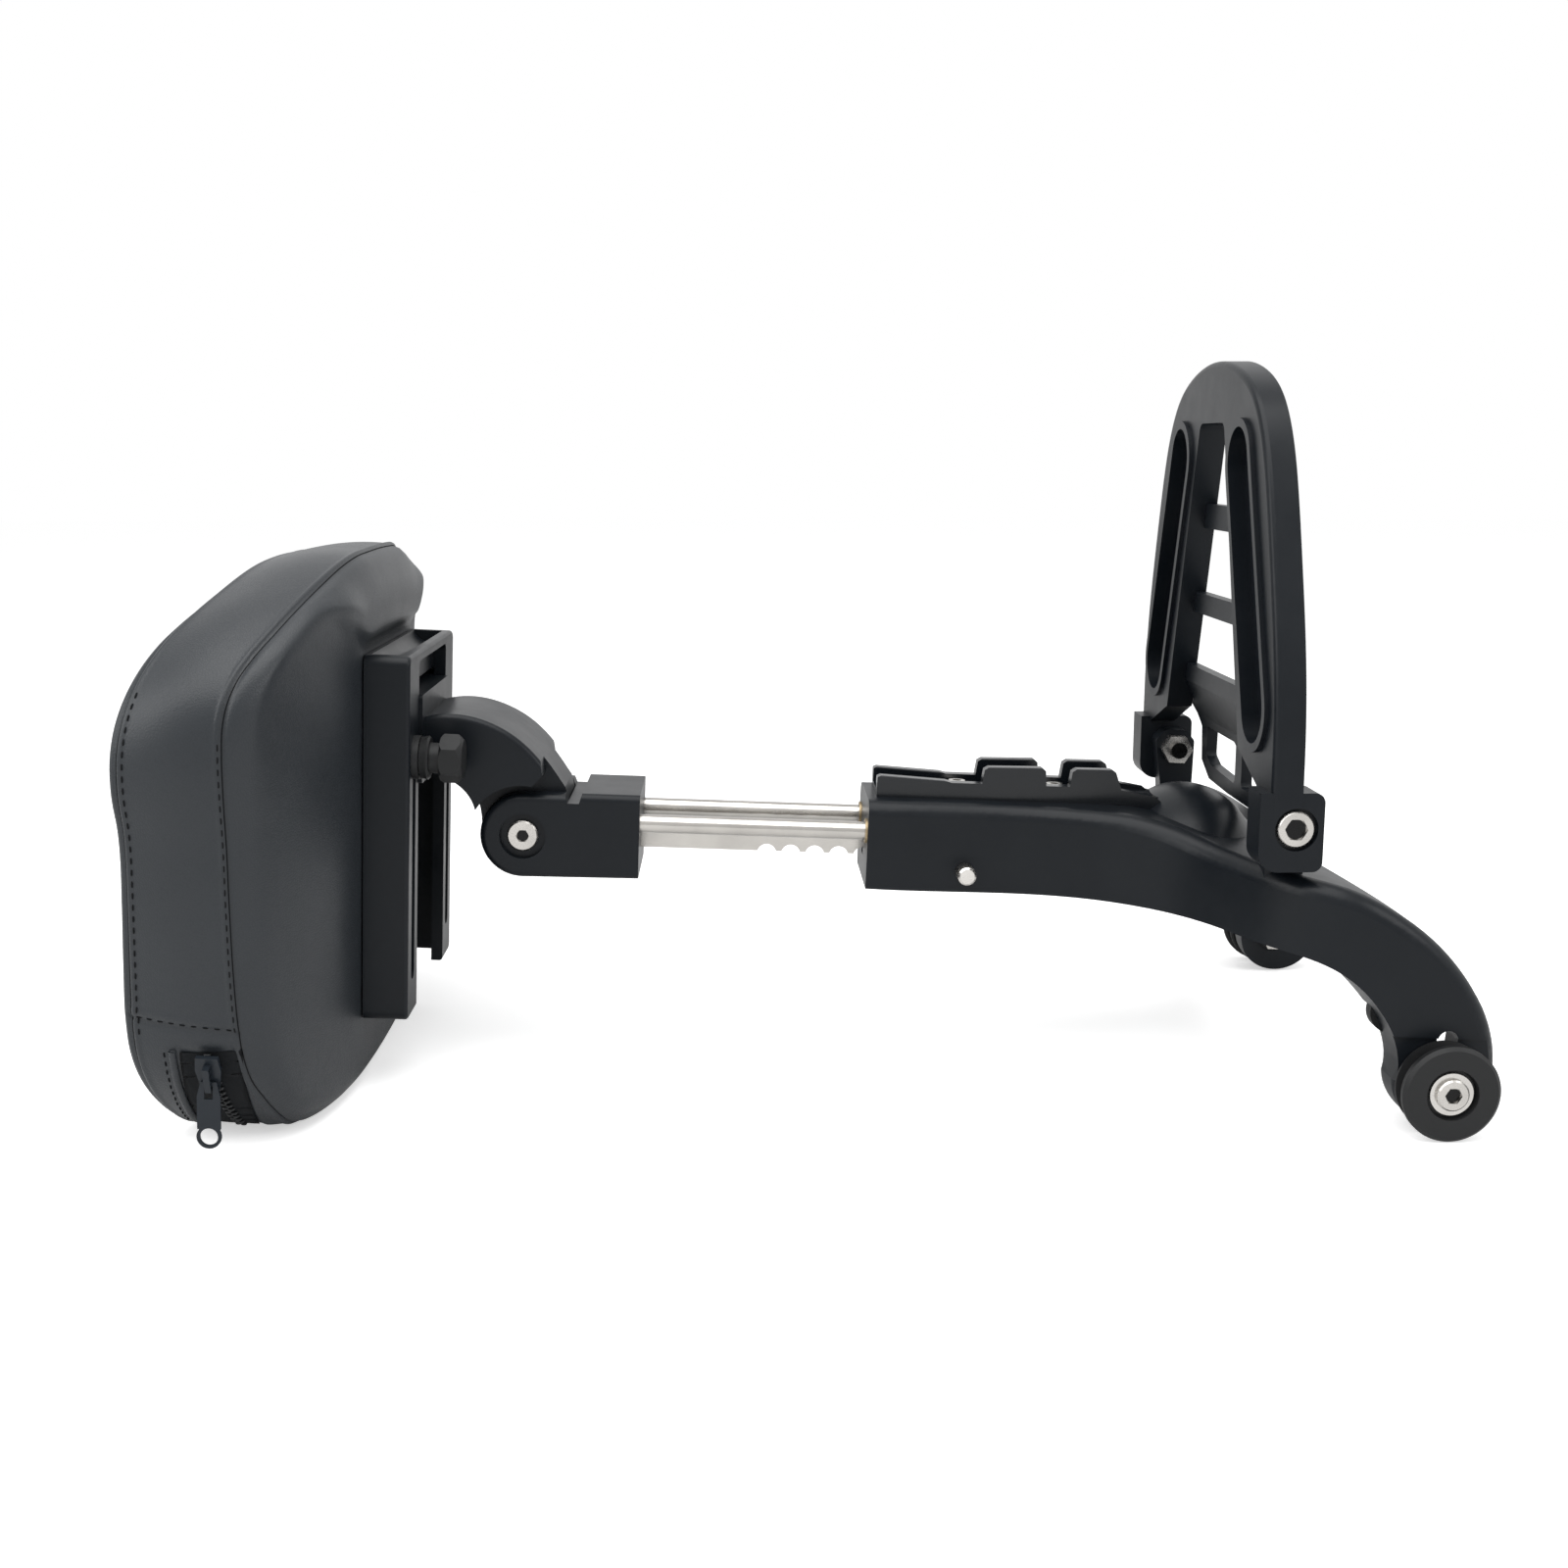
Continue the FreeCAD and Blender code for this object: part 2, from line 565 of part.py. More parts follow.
def clamp_knob(side):
    """Bevelled hexagonal head, neck, collar and screw on one axis."""
    x0 = TRAY_FRONT_X - RIM_T - 3.8
    y = side * KNOB_Y
    points = [
        (x0, 0), (x0, KNOB_SCREW_R), (TRAY_FRONT_X + 3.0, KNOB_SCREW_R), (TRAY_FRONT_X + 3.0, 8.6), (-187.4, 9.2),
        (-186.6, 8.4), (-186.6, 6.4), (HEAD_X0, 6.4), (HEAD_X0, KNOB_HEAD_R - 1.2), (HEAD_X0 + 1.2, KNOB_HEAD_R),
        (HEAD_X1 - 2.4, KNOB_HEAD_R), (HEAD_X1, KNOB_HEAD_R - 2.4), (HEAD_X1, 0),
    ]
    wire = polygon([vec(x, y + r, KNOB_Z) for x, r in points])
    knob = Part.Face(wire).revolve(vec(0, y, KNOB_Z), vec(1, 0, 0), 360)
    flats = []
    for step in range(6):
        angle = math.radians(60 * step + 30)
        flats.append((y + KNOB_HEAD_R * math.cos(angle), KNOB_Z + KNOB_HEAD_R * math.sin(angle)))
    waste = box(HEAD_X0, HEAD_X1 + 1, y - 12, y + 12, KNOB_Z - 12, KNOB_Z + 12)
    return knob.cut(waste.cut(front_plate(flats, HEAD_X0 - 1, HEAD_X1 + 2)))


def clamp_washer(side):
    y = side * KNOB_Y
    ring = rod((TRAY_FRONT_X, y, KNOB_Z), (1, 0, 0), 9.2, 2.7)
    return ring.cut(rod((TRAY_FRONT_X - 1, y, KNOB_Z), (1, 0, 0), KNOB_SCREW_R + 0.1, 5))


# Tray: an open cast frame on the back of the pad, with a slotted rim down each side.
def tray_bracket():
    outer = box(TRAY_BACK_X, TRAY_FRONT_X, -TRAY_HALF_W, TRAY_HALF_W, TRAY_BOTTOM, TRAY_TOP)
    outer = soften(outer, 4.0, lambda edge: is_along(edge, (1, 0, 0), 15))
    outer = soften(outer, 1.6, lambda edge: edge.BoundBox.XLength < 0.1 and edge.CenterOfMass.x > TRAY_FRONT_X - 0.1)
    inner_front = TRAY_FRONT_X - RIM_T
    hollow_x = TRAY_BACK_X + TRAY_BASE_T
    hollow = box(hollow_x, inner_front, -HOLLOW_HALF_W, HOLLOW_HALF_W, TRAY_BOTTOM - 1, PLATE_Z1 + 3)
    hollow = soften(hollow, 5.0, lambda edge: is_along(edge, (1, 0, 0), 5) and edge.CenterOfMass.z > 50)
    window = box(inner_front - 1, TRAY_FRONT_X + 1, -WINDOW_HALF_W, WINDOW_HALF_W, TRAY_BOTTOM - 1, WINDOW_TOP)
    window = soften(window, 3.0, lambda edge: is_along(edge, (1, 0, 0), 5) and edge.CenterOfMass.z > 50)
    scoop = rod((TRAY_BACK_X + 8.2, 7 - TRAY_HALF_W, TRAY_TOP + 1.5), (0, 1, 0), 6.6, 2 * TRAY_HALF_W - 14)
    tools = [hollow, window, scoop]
    for side in (-1, 1):
        y = side * KNOB_Y
        slot = box(inner_front - 1, TRAY_FRONT_X + 1, y - SLOT_HALF_W, y + SLOT_HALF_W, SLOT_Z0, SLOT_Z1)
        tools.append(soften(slot, SLOT_HALF_W - 0.1, lambda edge: is_along(edge, (1, 0, 0), 5)))
    for y, z in TRAY_SCREWS:
        tools.append(rod((TRAY_BACK_X - 1, y, z), (1, 0, 0), TRAY_SCREW_R, 6))
    return cut(outer, *tools)


def tray_screw(y, z):
    """Pan head screw that holds the tray on the board of the pad."""
    x = TRAY_BACK_X + TRAY_BASE_T
    head = rod((x, y, z), (1, 0, 0), 4.6, 2.4)
    return head.fuse(rod((x, y, z), (-1, 0, 0), TRAY_SCREW_R, TRAY_BASE_T + 7.5)).removeSplitter()


# Pad: its front outline is lofted along X and cut by a band that curves round the
# rider. The stiff board is let into the back, under the cover.
def pad_outline(x, inset=0.0):
    """Front outline at one station; the top falls and the foot follows the floor towards the front."""
    ahead = PAD_BACK_X - x
    wide = PAD_HALF_W - inset
    top = PAD_TOP - PAD_FALL * ahead - inset
    foot = PAD_FOOT - math.tan(math.radians(BEAM_TILT + ARM_TILT)) * ahead + inset
    side = [
        (wide - 102, top - 1.3), (wide - 61, top - 12.6), (wide - 29, top - 28), (wide - 8.5, top - 43.5),
        (wide - 0.6, top - 60), (wide - 1.2, top - 85), (wide - 4.6, foot + 71), (wide - 8.5, foot + 43),
        (wide - 14.5, foot + 28), (wide - 23, foot + 14.5), (wide - 30, foot + 6.5), (wide - 40, foot),
    ]
    over = [vec(x, -y, z) for y, z in reversed(side)] + [vec(x, 0, top)] + [vec(x, y, z) for y, z in side]
    return Part.Wire([curve(over), line(over[-1], over[0])])


def pad_band(shift, depth):
    """Upright band that follows the back of the pad: from a shift behind it to a depth in front of it."""
    back = [(0, 0), (30, 0), (57, 0.2), (95, 6), (118, 13), (131, 21), (139, 31), (146, 43)]
    rear = [vec(PAD_BACK_X + shift - x, y, -130) for y, x in mirror_points(back)]
    if depth < 2 * BOARD_T:
        front = [vec(point.x - shift - depth, point.y, point.z) for point in reversed(rear)]
    else:
        hollow = [(0, 0), (74, 0.25 * PAD_HOLLOW), (148, PAD_HOLLOW)]
        front = [vec(PAD_BACK_X - depth - x, y, -130) for y, x in reversed(mirror_points(hollow))]
    edges = [curve(rear), line(rear[-1], front[0]), curve(front), line(front[-1], rear[0])]
    return extrude(Part.Wire(edges), (0, 0, 270))


def pad_block():
    ends = [pad_outline(PAD_BACK_X + 10), pad_outline(PAD_BACK_X - PAD_DEPTH - PAD_HOLLOW - 10)]
    block = Part.makeLoft(ends, True, True).common(pad_band(0, PAD_DEPTH))
    front = PAD_BACK_X - PAD_DEPTH + 2
    block = soften(block, 8.0, lambda edge: edge.BoundBox.XMax < front and edge.Length > 100)
    return soften(block, 7.0, lambda edge: edge.BoundBox.XMax > PAD_BACK_X - 5 and edge.Length > 300)


def board_space():
    """Room for the board, open at the back."""
    return extrude(pad_outline(PAD_BACK_X + 10, BOARD_INSET), (-60, 0, 0)).common(pad_band(5, BOARD_T))


def pad_cushion():
    return pad_block().cut(board_space())


def back_panel():
    """Stiff board let into the back of the pad, with blind holes for the screws of the tray."""
    board = pad_block().common(board_space())
    for y, z in TRAY_SCREWS:
        board = board.cut(rod((TRAY_BACK_X + 1, y, z), (-1, 0, 0), TRAY_SCREW_R, 9.0))
    return board


def on_cover(shape):
    """Tilt a zip piece to the slope of the cover and carry it to its place there."""
    shape = shape.copy()
    shape.rotate(vec(0, 0, 0), vec(1, 0, 0), ZIP_TILT)
    shape.translate(vec(ZIP_X, ZIP_Y, ZIP_Z))
    return shape


def in_bridge(shape):
    """Hang a shape plumb from the bridge of the tilted slider."""
    slope = math.radians(ZIP_TILT)
    shape = shape.copy()
    shape.translate(vec(
        ZIP_X,
        ZIP_Y + PULL_Y * math.cos(slope) - PULL_Z * math.sin(slope),
        ZIP_Z + PULL_Y * math.sin(slope) + PULL_Z * math.cos(slope),
    ))
    return shape


def zip_chain():
    """Band of teeth that follows the near side of the cover down to the foot."""
    outer = extrude(pad_outline(ZIP_X + CHAIN_HALF_W, -0.3 - CHAIN_T), (-2 * CHAIN_HALF_W, 0, 0))
    inner = extrude(pad_outline(ZIP_X + CHAIN_HALF_W, -0.3), (-2 * CHAIN_HALF_W, 0, 0))
    return outer.cut(inner).common(box(ZIP_X - 5, ZIP_X + 5, -PAD_HALF_W - 16, 44 - PAD_HALF_W, -100, -60))


def zip_slider():
    top = SLIDER_FACE - 1.8
    plan = [(-4.2, 8.0), (4.2, 8.0), (4.8, 2.0), (3.4, -7.0), (-3.4, -7.0), (-4.8, 2.0)]
    body = side_plate(plan, top, SLIDER_FACE)
    bridge = box(-1.2, 1.2, PULL_Y - 2.1, top + 0.1, -6.0, 5.0)
    eye = box(-2, 2, PULL_Y - 1.1, top, -5.0, 4.0)
    return body.fuse(bridge.cut(eye)).removeSplitter()


def zip_pull():
    """Flat tab with a bar for the bridge of the slider at its top and a ring at its foot."""
    outline = [(-3.0, 0.8), (3.0, 0.8), (4.4, -5.0), (4.4, -18.0), (-4.4, -18.0), (-4.4, -5.0)]
    tab = side_plate(outline, -0.5, 0.5)
    tab = tab.fuse(along_y(0, -21.0, 4.7, -0.5, 0.5))
    tab = tab.cut(along_y(0, -21.0, 3.4, -1, 1))
    return tab.cut(box(-1.6, 1.6, -1, 1, -6.0, -0.8)).removeSplitter()


# Rack: laid out about its hinge axis, front face towards the rider, then leaned
# forward and carried to the hinge.
def rack_outline(x):
    side = [
        (FOOT_OUT, -2), (FOOT_OUT + 0.4, 20), (108.6, 48), (103.2, 75), (95.8, 100), (87.6, 125), (77.6, 148),
        (62, 166.5), (34, 178.8), (0, RACK_TOP),
    ]
    right = [vec(x, y, z) for y, z in side]
    left = [vec(x, -y, z) for y, z in reversed(side[:-1])]
    foot_side = [(0, 29), (62, 24), (FOOT_IN, EAR_CLEAR), (FOOT_IN, -2), (FOOT_OUT, -2)]
    foot = [vec(x, y, z) for y, z in mirror_points(foot_side)]
    edges = [curve(right + left)]
    edges += [line(a, b) for a, b in zip(foot[:-1], foot[1:])]
    return Part.Wire(edges)


def pocket(x, radius, depth):
    """Long tapered pocket in one side of the rack: two round ends and the web between them."""
    low, high = (83.0, 44.0), (47.5, 141.0)
    length = math.hypot(high[0] - low[0], high[1] - low[1])
    ny = (high[1] - low[1]) / length * radius
    nz = -(high[0] - low[0]) / length * radius
    web = front_plate([
        (low[0] - ny, low[1] - nz), (low[0] + ny, low[1] + nz),
        (high[0] + ny, high[1] + nz), (high[0] - ny, high[1] - nz),
    ], x, x + depth)
    ends = [rod((x, y, z), (1, 0, 0), radius, depth) for y, z in (low, high)]
    return union([web] + ends)


def is_corner(edge, x, z):
    """True for the straight edge across the rack at one corner of its side view."""
    centre = edge.CenterOfMass
    return is_along(edge, (0, 1, 0), 10) and abs(centre.x - x) < 0.1 and abs(centre.z - z) < 0.1


def rack_foot():
    """Foot round the hinge; its lower front corner is well rounded to clear the beam as it folds."""
    foot = box(FOOT_FRONT, FOOT_BACK, FOOT_IN, FOOT_OUT, FOOT_LOW, FOOT_TOP)
    foot = soften(foot, 8.0, lambda edge: is_corner(edge, FOOT_FRONT, FOOT_LOW))
    foot = soften(foot, 4.0, lambda edge: is_corner(edge, FOOT_BACK, FOOT_LOW))
    return soften(foot, 4.0, lambda edge: is_corner(edge, FOOT_BACK, FOOT_TOP))


def is_front_rim(edge):
    """Long edge of the rack on its front face."""
    return edge.BoundBox.XLength < 0.1 and edge.CenterOfMass.x < RACK_FRONT + 0.1 and edge.Length > 150


def rack_frame():
    plate = extrude(rack_outline(RACK_FRONT), (RACK_BACK - RACK_FRONT, 0, 0))
    opening = [(0, 10.0), (65.0, 10.0), (54.5, 44.0), (19.0, 157.0), (0, 157.0)]
    ladder = front_plate(mirror_points(opening)[1:-1], RACK_FRONT - 1, RACK_BACK + 1)
    ladder = soften(ladder, 5.0, lambda edge: is_along(edge, (1, 0, 0), 10))
    plate = plate.cut(ladder)
    plate = soften(plate, 2.4, is_front_rim)
    ridge = pocket(RACK_FRONT - 1.8, 17.6, 4.0)
    hollow = pocket(RACK_FRONT - 2.0, 14.0, 7.5)
    rungs = [box(RUNG_FRONT, RACK_BACK, -54, 54, low, high) for low, high in ((71.2, 80.6), (110.4, 121.4))]
    clip = front_plate([(-50, 60), (50, 60), (24, 150), (-24, 150)], -20, 20)
    rungs = [rung.common(clip) for rung in rungs]
    feet = rack_foot()
    body = union([plate, ridge, mirrored(ridge), rack_bridge(), feet, mirrored(feet)] + rungs)
    tools = [hollow, mirrored(hollow)]
    for side in (-1, 1):
        y0, y1 = sorted((side * (FOOT_IN - 2), side * (FOOT_OUT + 2)))
        tools.append(along_y(0, 0, HINGE_PIN_R + 0.1, y0, y1))
        y0, y1 = sorted((side * (FOOT_OUT - 2.5), side * (FOOT_OUT + 2)))
        tools.append(along_y(0, 0, 8.6, y0, y1))
    return cut(body, *tools)


def rack_bridge():
    """Lower bridge, set back from the ladder so that the folded rack clears the dome of the beam."""
    profile = [
        (RUNG_FRONT, 46.0), (RACK_BACK, 46.0), (RACK_BACK, 40.0), (12.0, 19.0), (13.0, 12.0), (13.0, -10.0),
        (8.0, -10.0), (8.0, 14.0), (6.0, 20.0), (RUNG_FRONT, 38.0),
    ]
    sheet = side_plate(profile, -70, 70)
    half = [(0, -10.5), (48, -9), (62, -2), (64, 16), (68, 26), (60, 47)]
    sheet = sheet.common(front_plate(mirror_points(half), -20, 20))
    for side in (-1, 1):
        opening = [(5, 15.5), (53, 15.5), (54, 1.5), (45, -2.0), (5, -3.5)]
        hole = front_plate([(side * y, z) for y, z in opening], 0, 20)
        sheet = sheet.cut(soften(hole, 2.5, lambda edge: is_along(edge, (1, 0, 0), 10)))
    return sheet


def hinge_screw():
    face = -(FOOT_OUT - 2.5) - 0.2
    return socket_screw(0, 0, face, 7.3, 2.2, HINGE_PIN_R, 34.0, 8.0)


def hinge_nut():
    nut = hexagon(0, -EAR_IN, 0, 13.0, 6.5)
    return nut.cut(along_y(0, 0, HINGE_PIN_R, -EAR_IN - 1, -EAR_IN + 8))


def in_beam(shape):
    """Tip and lift a shape from the beam frame to the stance on the floor."""
    tilt = math.radians(BEAM_TILT)
    lift = BOBBIN_R + BOBBIN_X * math.sin(tilt) - BOBBIN_Z * math.cos(tilt)
    shape = shape.copy()
    shape.rotate(vec(0, 0, 0), vec(0, 1, 0), BEAM_TILT)
    shape.translate(vec(STAND_X, 0, lift))
    return shape


def in_arm(shape):
    return in_beam(turn(shape.copy(), PIVOT_X, PIVOT_Z, ARM_TILT))


def in_rack(shape):
    shape = shape.copy()
    shape.rotate(vec(0, 0, 0), vec(0, 1, 0), -RACK_LEAN)
    shape.translate(vec(HINGE_X, 0, HINGE_Z))
    return in_beam(shape)


def at_hinge(shape):
    shape = shape.copy()
    shape.translate(vec(HINGE_X, 0, HINGE_Z))
    return in_beam(shape)


def write(name, shape):
    shape.exportStep(os.path.join("parts", name + ".step"))


def main():
    beam = main_beam()
    write("main_beam", in_beam(beam))
    write("rail_bracket", in_beam(rail_bracket(beam)))
    write("rail_screws", in_beam(Part.makeCompound([rail_screw(41.0), rail_screw(85.0)])))
    write("rod_bushes", in_beam(Part.makeCompound([rod_bush(-1), rod_bush(1)])))
    bobbin = docking_bobbin()
    write("docking_bobbin_left", in_beam(bobbin))
    write("docking_bobbin_right", in_beam(mirrored(bobbin)))
    write("bobbin_washers", in_beam(both_sides(bobbin_washer())))
    write("bobbin_screws", in_beam(both_sides(bobbin_screw())))
    write("bobbin_nuts", in_beam(both_sides(bobbin_nut())))
    write("leg_caps", in_beam(both_sides(leg_cap())))
    write("lock_pin", in_beam(lock_pin()))
    write("guide_rod_left", in_beam(guide_rod(-1)))
    write("guide_rod_right", in_beam(guide_rod(1)))
    write("lock_bar", in_beam(lock_bar()))
    write("fork_block", in_beam(fork_block()))
    write("pivot_pin", in_beam(pivot_pin()))
    write("pivot_screws", in_beam(both_sides(pivot_screw())))
    write("arm", in_arm(arm_casting()))
    write("clamp_knob_left", in_arm(clamp_knob(-1)))
    write("clamp_knob_right", in_arm(clamp_knob(1)))
    write("clamp_washers", in_arm(Part.makeCompound([clamp_washer(-1), clamp_washer(1)])))
    write("tray_bracket", in_arm(tray_bracket()))
    write("tray_screws", in_arm(Part.makeCompound([tray_screw(y, z) for y, z in TRAY_SCREWS])))
    write("back_panel", in_arm(back_panel()))
    write("pad_cushion", in_arm(pad_cushion()))
    write("zip_chain", in_arm(zip_chain()))
    write("zip_slider", in_arm(on_cover(zip_slider())))
    write("zip_pull", in_arm(in_bridge(zip_pull())))
    write("rack_frame", in_rack(rack_frame()))
    write("hinge_screws", at_hinge(both_sides(hinge_screw())))
    write("hinge_nuts", at_hinge(both_sides(hinge_nut())))


main()
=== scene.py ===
"""Studio scene of an adjustable rider backrest with a folding luggage rack.

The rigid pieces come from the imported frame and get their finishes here. The
upholstered pad, its seams and stitches, and the zip at its foot are surfaces
worked out with numpy. Sizes of the pad are in millimetres in the frame of the
arm, as in the part's source, and turn into metres on the way into a mesh.
"""
from __future__ import annotations

import json
import logging
import math
from dataclasses import dataclass, field
from enum import Enum
from typing import Any

import bpy
import numpy as np
from mathutils import Matrix, Vector

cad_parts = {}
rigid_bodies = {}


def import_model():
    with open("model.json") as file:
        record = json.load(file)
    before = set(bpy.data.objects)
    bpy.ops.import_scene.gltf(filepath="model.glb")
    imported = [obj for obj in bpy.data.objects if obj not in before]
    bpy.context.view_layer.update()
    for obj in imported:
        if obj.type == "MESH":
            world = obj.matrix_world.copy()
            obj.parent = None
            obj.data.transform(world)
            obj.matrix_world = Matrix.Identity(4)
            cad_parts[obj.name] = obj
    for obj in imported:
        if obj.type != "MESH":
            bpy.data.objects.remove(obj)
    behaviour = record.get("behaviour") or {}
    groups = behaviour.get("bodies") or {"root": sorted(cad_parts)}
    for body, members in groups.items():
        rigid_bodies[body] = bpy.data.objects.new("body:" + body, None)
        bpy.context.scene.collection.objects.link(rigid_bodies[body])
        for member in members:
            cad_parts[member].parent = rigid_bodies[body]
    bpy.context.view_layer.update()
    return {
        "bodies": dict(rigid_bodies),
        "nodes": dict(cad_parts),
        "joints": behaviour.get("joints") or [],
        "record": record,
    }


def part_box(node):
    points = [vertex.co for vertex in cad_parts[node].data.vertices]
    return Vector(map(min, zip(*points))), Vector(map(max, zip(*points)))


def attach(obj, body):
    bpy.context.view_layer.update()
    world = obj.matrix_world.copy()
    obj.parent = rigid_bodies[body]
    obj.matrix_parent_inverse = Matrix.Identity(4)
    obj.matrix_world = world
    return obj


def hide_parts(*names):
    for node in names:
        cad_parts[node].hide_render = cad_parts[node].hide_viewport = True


Array = np.ndarray
log = logging.getLogger("backrest")

MM = 0.001
ARM_SLOPE = math.radians(2.7)      # arm and pad against the floor
PIVOT_LOCAL = (-150.0, 0.0, -1.0)  # fold pivot in the arm's own frame, in mm
FOLD_PIVOT = (-0.130219, 0.0, 0.102694)  # the same pivot in the row frame, in metres
WHITE = (1, 1, 1, 1)
# radii of the painted shade discs in the screw heads' socket recesses
SOCKET_SHADE_RADII = {"pivot_screws": 0.0027, "hinge_screws": 0.0043, "bobbin_screws": 0.0032}  # radii in metres


class Slot(Enum):
    """Material slots of the record."""

    CASTING = "satin_black_casting"
    BRACKET = "semi_gloss_black"
    POLYMER = "black_polymer"
    STAINLESS = "stainless"
    BRONZE = "bronze"
    VINYL = "black_vinyl"
    ZIP_TAPE = "zip_tape"
    ZIP_METAL = "zip_metal"


class Wire:
    """A socket in a shader tree. Arithmetic on wires adds Math nodes."""

    def __init__(self, sheet: "ShaderSheet", socket: Any) -> None:
        """Keep the tree and the socket."""
        self.sheet = sheet
        self.socket = socket

    def _maths(self, operation: str, *values: Any) -> "Wire":
        """Add one Math node on the values and return its result."""
        sockets = dict(enumerate(values))
        return self.sheet.add("ShaderNodeMath", {"operation": operation}, sockets)

    def __add__(self, other: Any) -> "Wire":
        """Sum."""
        return self._maths("ADD", self, other)

    __radd__ = __add__

    def __sub__(self, other: Any) -> "Wire":
        """Difference."""
        return self._maths("SUBTRACT", self, other)

    def __rsub__(self, other: Any) -> "Wire":
        """Difference, the other way round."""
        return self._maths("SUBTRACT", other, self)

    def __mul__(self, other: Any) -> "Wire":
        """Product."""
        return self._maths("MULTIPLY", self, other)

    __rmul__ = __mul__

    def __pow__(self, other: Any) -> "Wire":
        """Power."""
        return self._maths("POWER", self, other)

    def maximum(self, other: Any) -> "Wire":
        """The larger of the two."""
        return self._maths("MAXIMUM", self, other)

    def within(self, low: float, high: float, start: float = 0.0, end: float = 1.0) -> "Wire":
        """Carry the range low to high over to start to end, and hold it there.

        Args:
            low, high: the range that comes in.
            start, end: the values that go out.

        Returns:
            The carried value.
        """
        sockets = {"Value": self, "From Min": low, "From Max": high, "To Min": start, "To Max": end}
        return self.sheet.add("ShaderNodeMapRange", {"clamp": True}, sockets)


class ShaderSheet:
    """The node tree of one material, or of the world."""

    def __init__(self, name: str, owner: bpy.types.World | None = None) -> None:
        """Empty the tree of a new material, or of the owner.

        Args:
            name: name of the new material.
            owner: the world, when the tree is its own.
        """
        self.material = bpy.data.materials.new(name) if owner is None else owner
        self.material.use_nodes = True
        self.tree = self.material.node_tree
        self.tree.nodes.clear()

    def add(
        self,
        kind: str,
        settings: dict[str, Any] | None = None,
        sockets: dict[Any, Any] | None = None,
        output: Any = 0,
    ) -> Wire:
        """Add a node.

        Args:
            kind: the node's type.
            settings: its own settings, set first.
            sockets: values or wires of its inputs, by name or number.
            output: name or number of the output that is wanted.

        Returns:
            That output as a wire.
        """
        node = self.tree.nodes.new(kind)
        for key, value in (settings or {}).items():
            setattr(node, key, value)
        for key, value in (sockets or {}).items():
            if isinstance(value, Wire):
                self.tree.links.new(value.socket, node.inputs[key])
            else:
                node.inputs[key].default_value = value
        return Wire(self, node.outputs[output] if node.outputs else None)

    def place(self, stretch: tuple[float, float, float] = (1, 1, 1)) -> Wire:
        """Object coordinates, stretched along the axes."""
        coordinates = self.add("ShaderNodeTexCoord", output="Object")
        return self.add("ShaderNodeMapping", {}, {"Vector": coordinates, "Scale": stretch})

    def noise(self, at: Wire, scale: float, detail: float = 2.0, roughness: float = 0.5) -> Wire:
        """Smooth noise from 0 to 1."""
        sockets = {"Vector": at, "Scale": scale, "Detail": detail, "Roughness": roughness}
        return self.add("ShaderNodeTexNoise", {}, sockets)

    def cells(self, at: Wire, scale: float) -> Wire:
        """Distance to the edge of the nearest cell of a pattern."""
        settings = {"feature": "DISTANCE_TO_EDGE"}
        return self.add("ShaderNodeTexVoronoi", settings, {"Vector": at, "Scale": scale}, "Distance")

    def blend(self, factor: Any, first: Any, second: Any) -> Wire:
        """Mix two colours, or wires that carry colours, by a factor."""
        settings = {"data_type": "RGBA"}
        sockets = {0: factor, 6: first, 7: second}
        return self.add("ShaderNodeMix", settings, sockets, 2)

    def bump(self, height: Wire, depth: float, strength: float = 1.0) -> Wire:
        """Normal from a height field; depth is the height of 1 in metres."""
        return self.add("ShaderNodeBump", {}, {"Height": height, "Distance": depth, "Strength": strength})

    def surface(self, sockets: dict[str, Any]) -> bpy.types.Material:
        """Close the tree with a Principled shader.

        Args:
            sockets: values or wires of the shader's inputs.

        Returns:
            The finished material.
        """
        shader = self.add("ShaderNodeBsdfPrincipled", {}, sockets)
        self.add("ShaderNodeOutputMaterial", {}, {"Surface": shader})
        return self.material


def grey(level: float, cool: float = 1.0) -> tuple[float, float, float, float]:
    """A near-neutral colour; cool above 1 leans it from red to blue."""
    return (level / cool, level, level * cool, 1.0)


@dataclass(frozen=True)
class PowderCoat:
    """Satin black coat on a casting: fine orange peel, faint handling marks."""

    name: str
    level: float
    roughness: float
    peel_mm: float = 0.9
    peel_depth: float = 0.000012
    sheen: float = 0.26

    def material(self) -> bpy.types.Material:
        """Build the material."""
        sheet = ShaderSheet(self.name)
        at = sheet.place()
        peel = sheet.noise(at, 1 / (self.peel_mm * MM), 2.0, 0.5)
        dust = sheet.noise(at, 38.0, 4.0, 0.6)
        rubbed = sheet.noise(at, 900.0, 3.0, 0.7)
        tone = sheet.blend(dust.within(0.35, 0.75), grey(self.level, 1.4), grey(self.level * 1.35, 1.3))
        return sheet.surface({
            "Base Color": tone,
            "Roughness": (dust.within(0.3, 0.7, self.roughness - 0.035, self.roughness + 0.035)
                          + rubbed * 0.03),
            "Normal": sheet.bump(peel + rubbed * 0.2, self.peel_depth),
            "Specular IOR Level": self.sheen,
        })


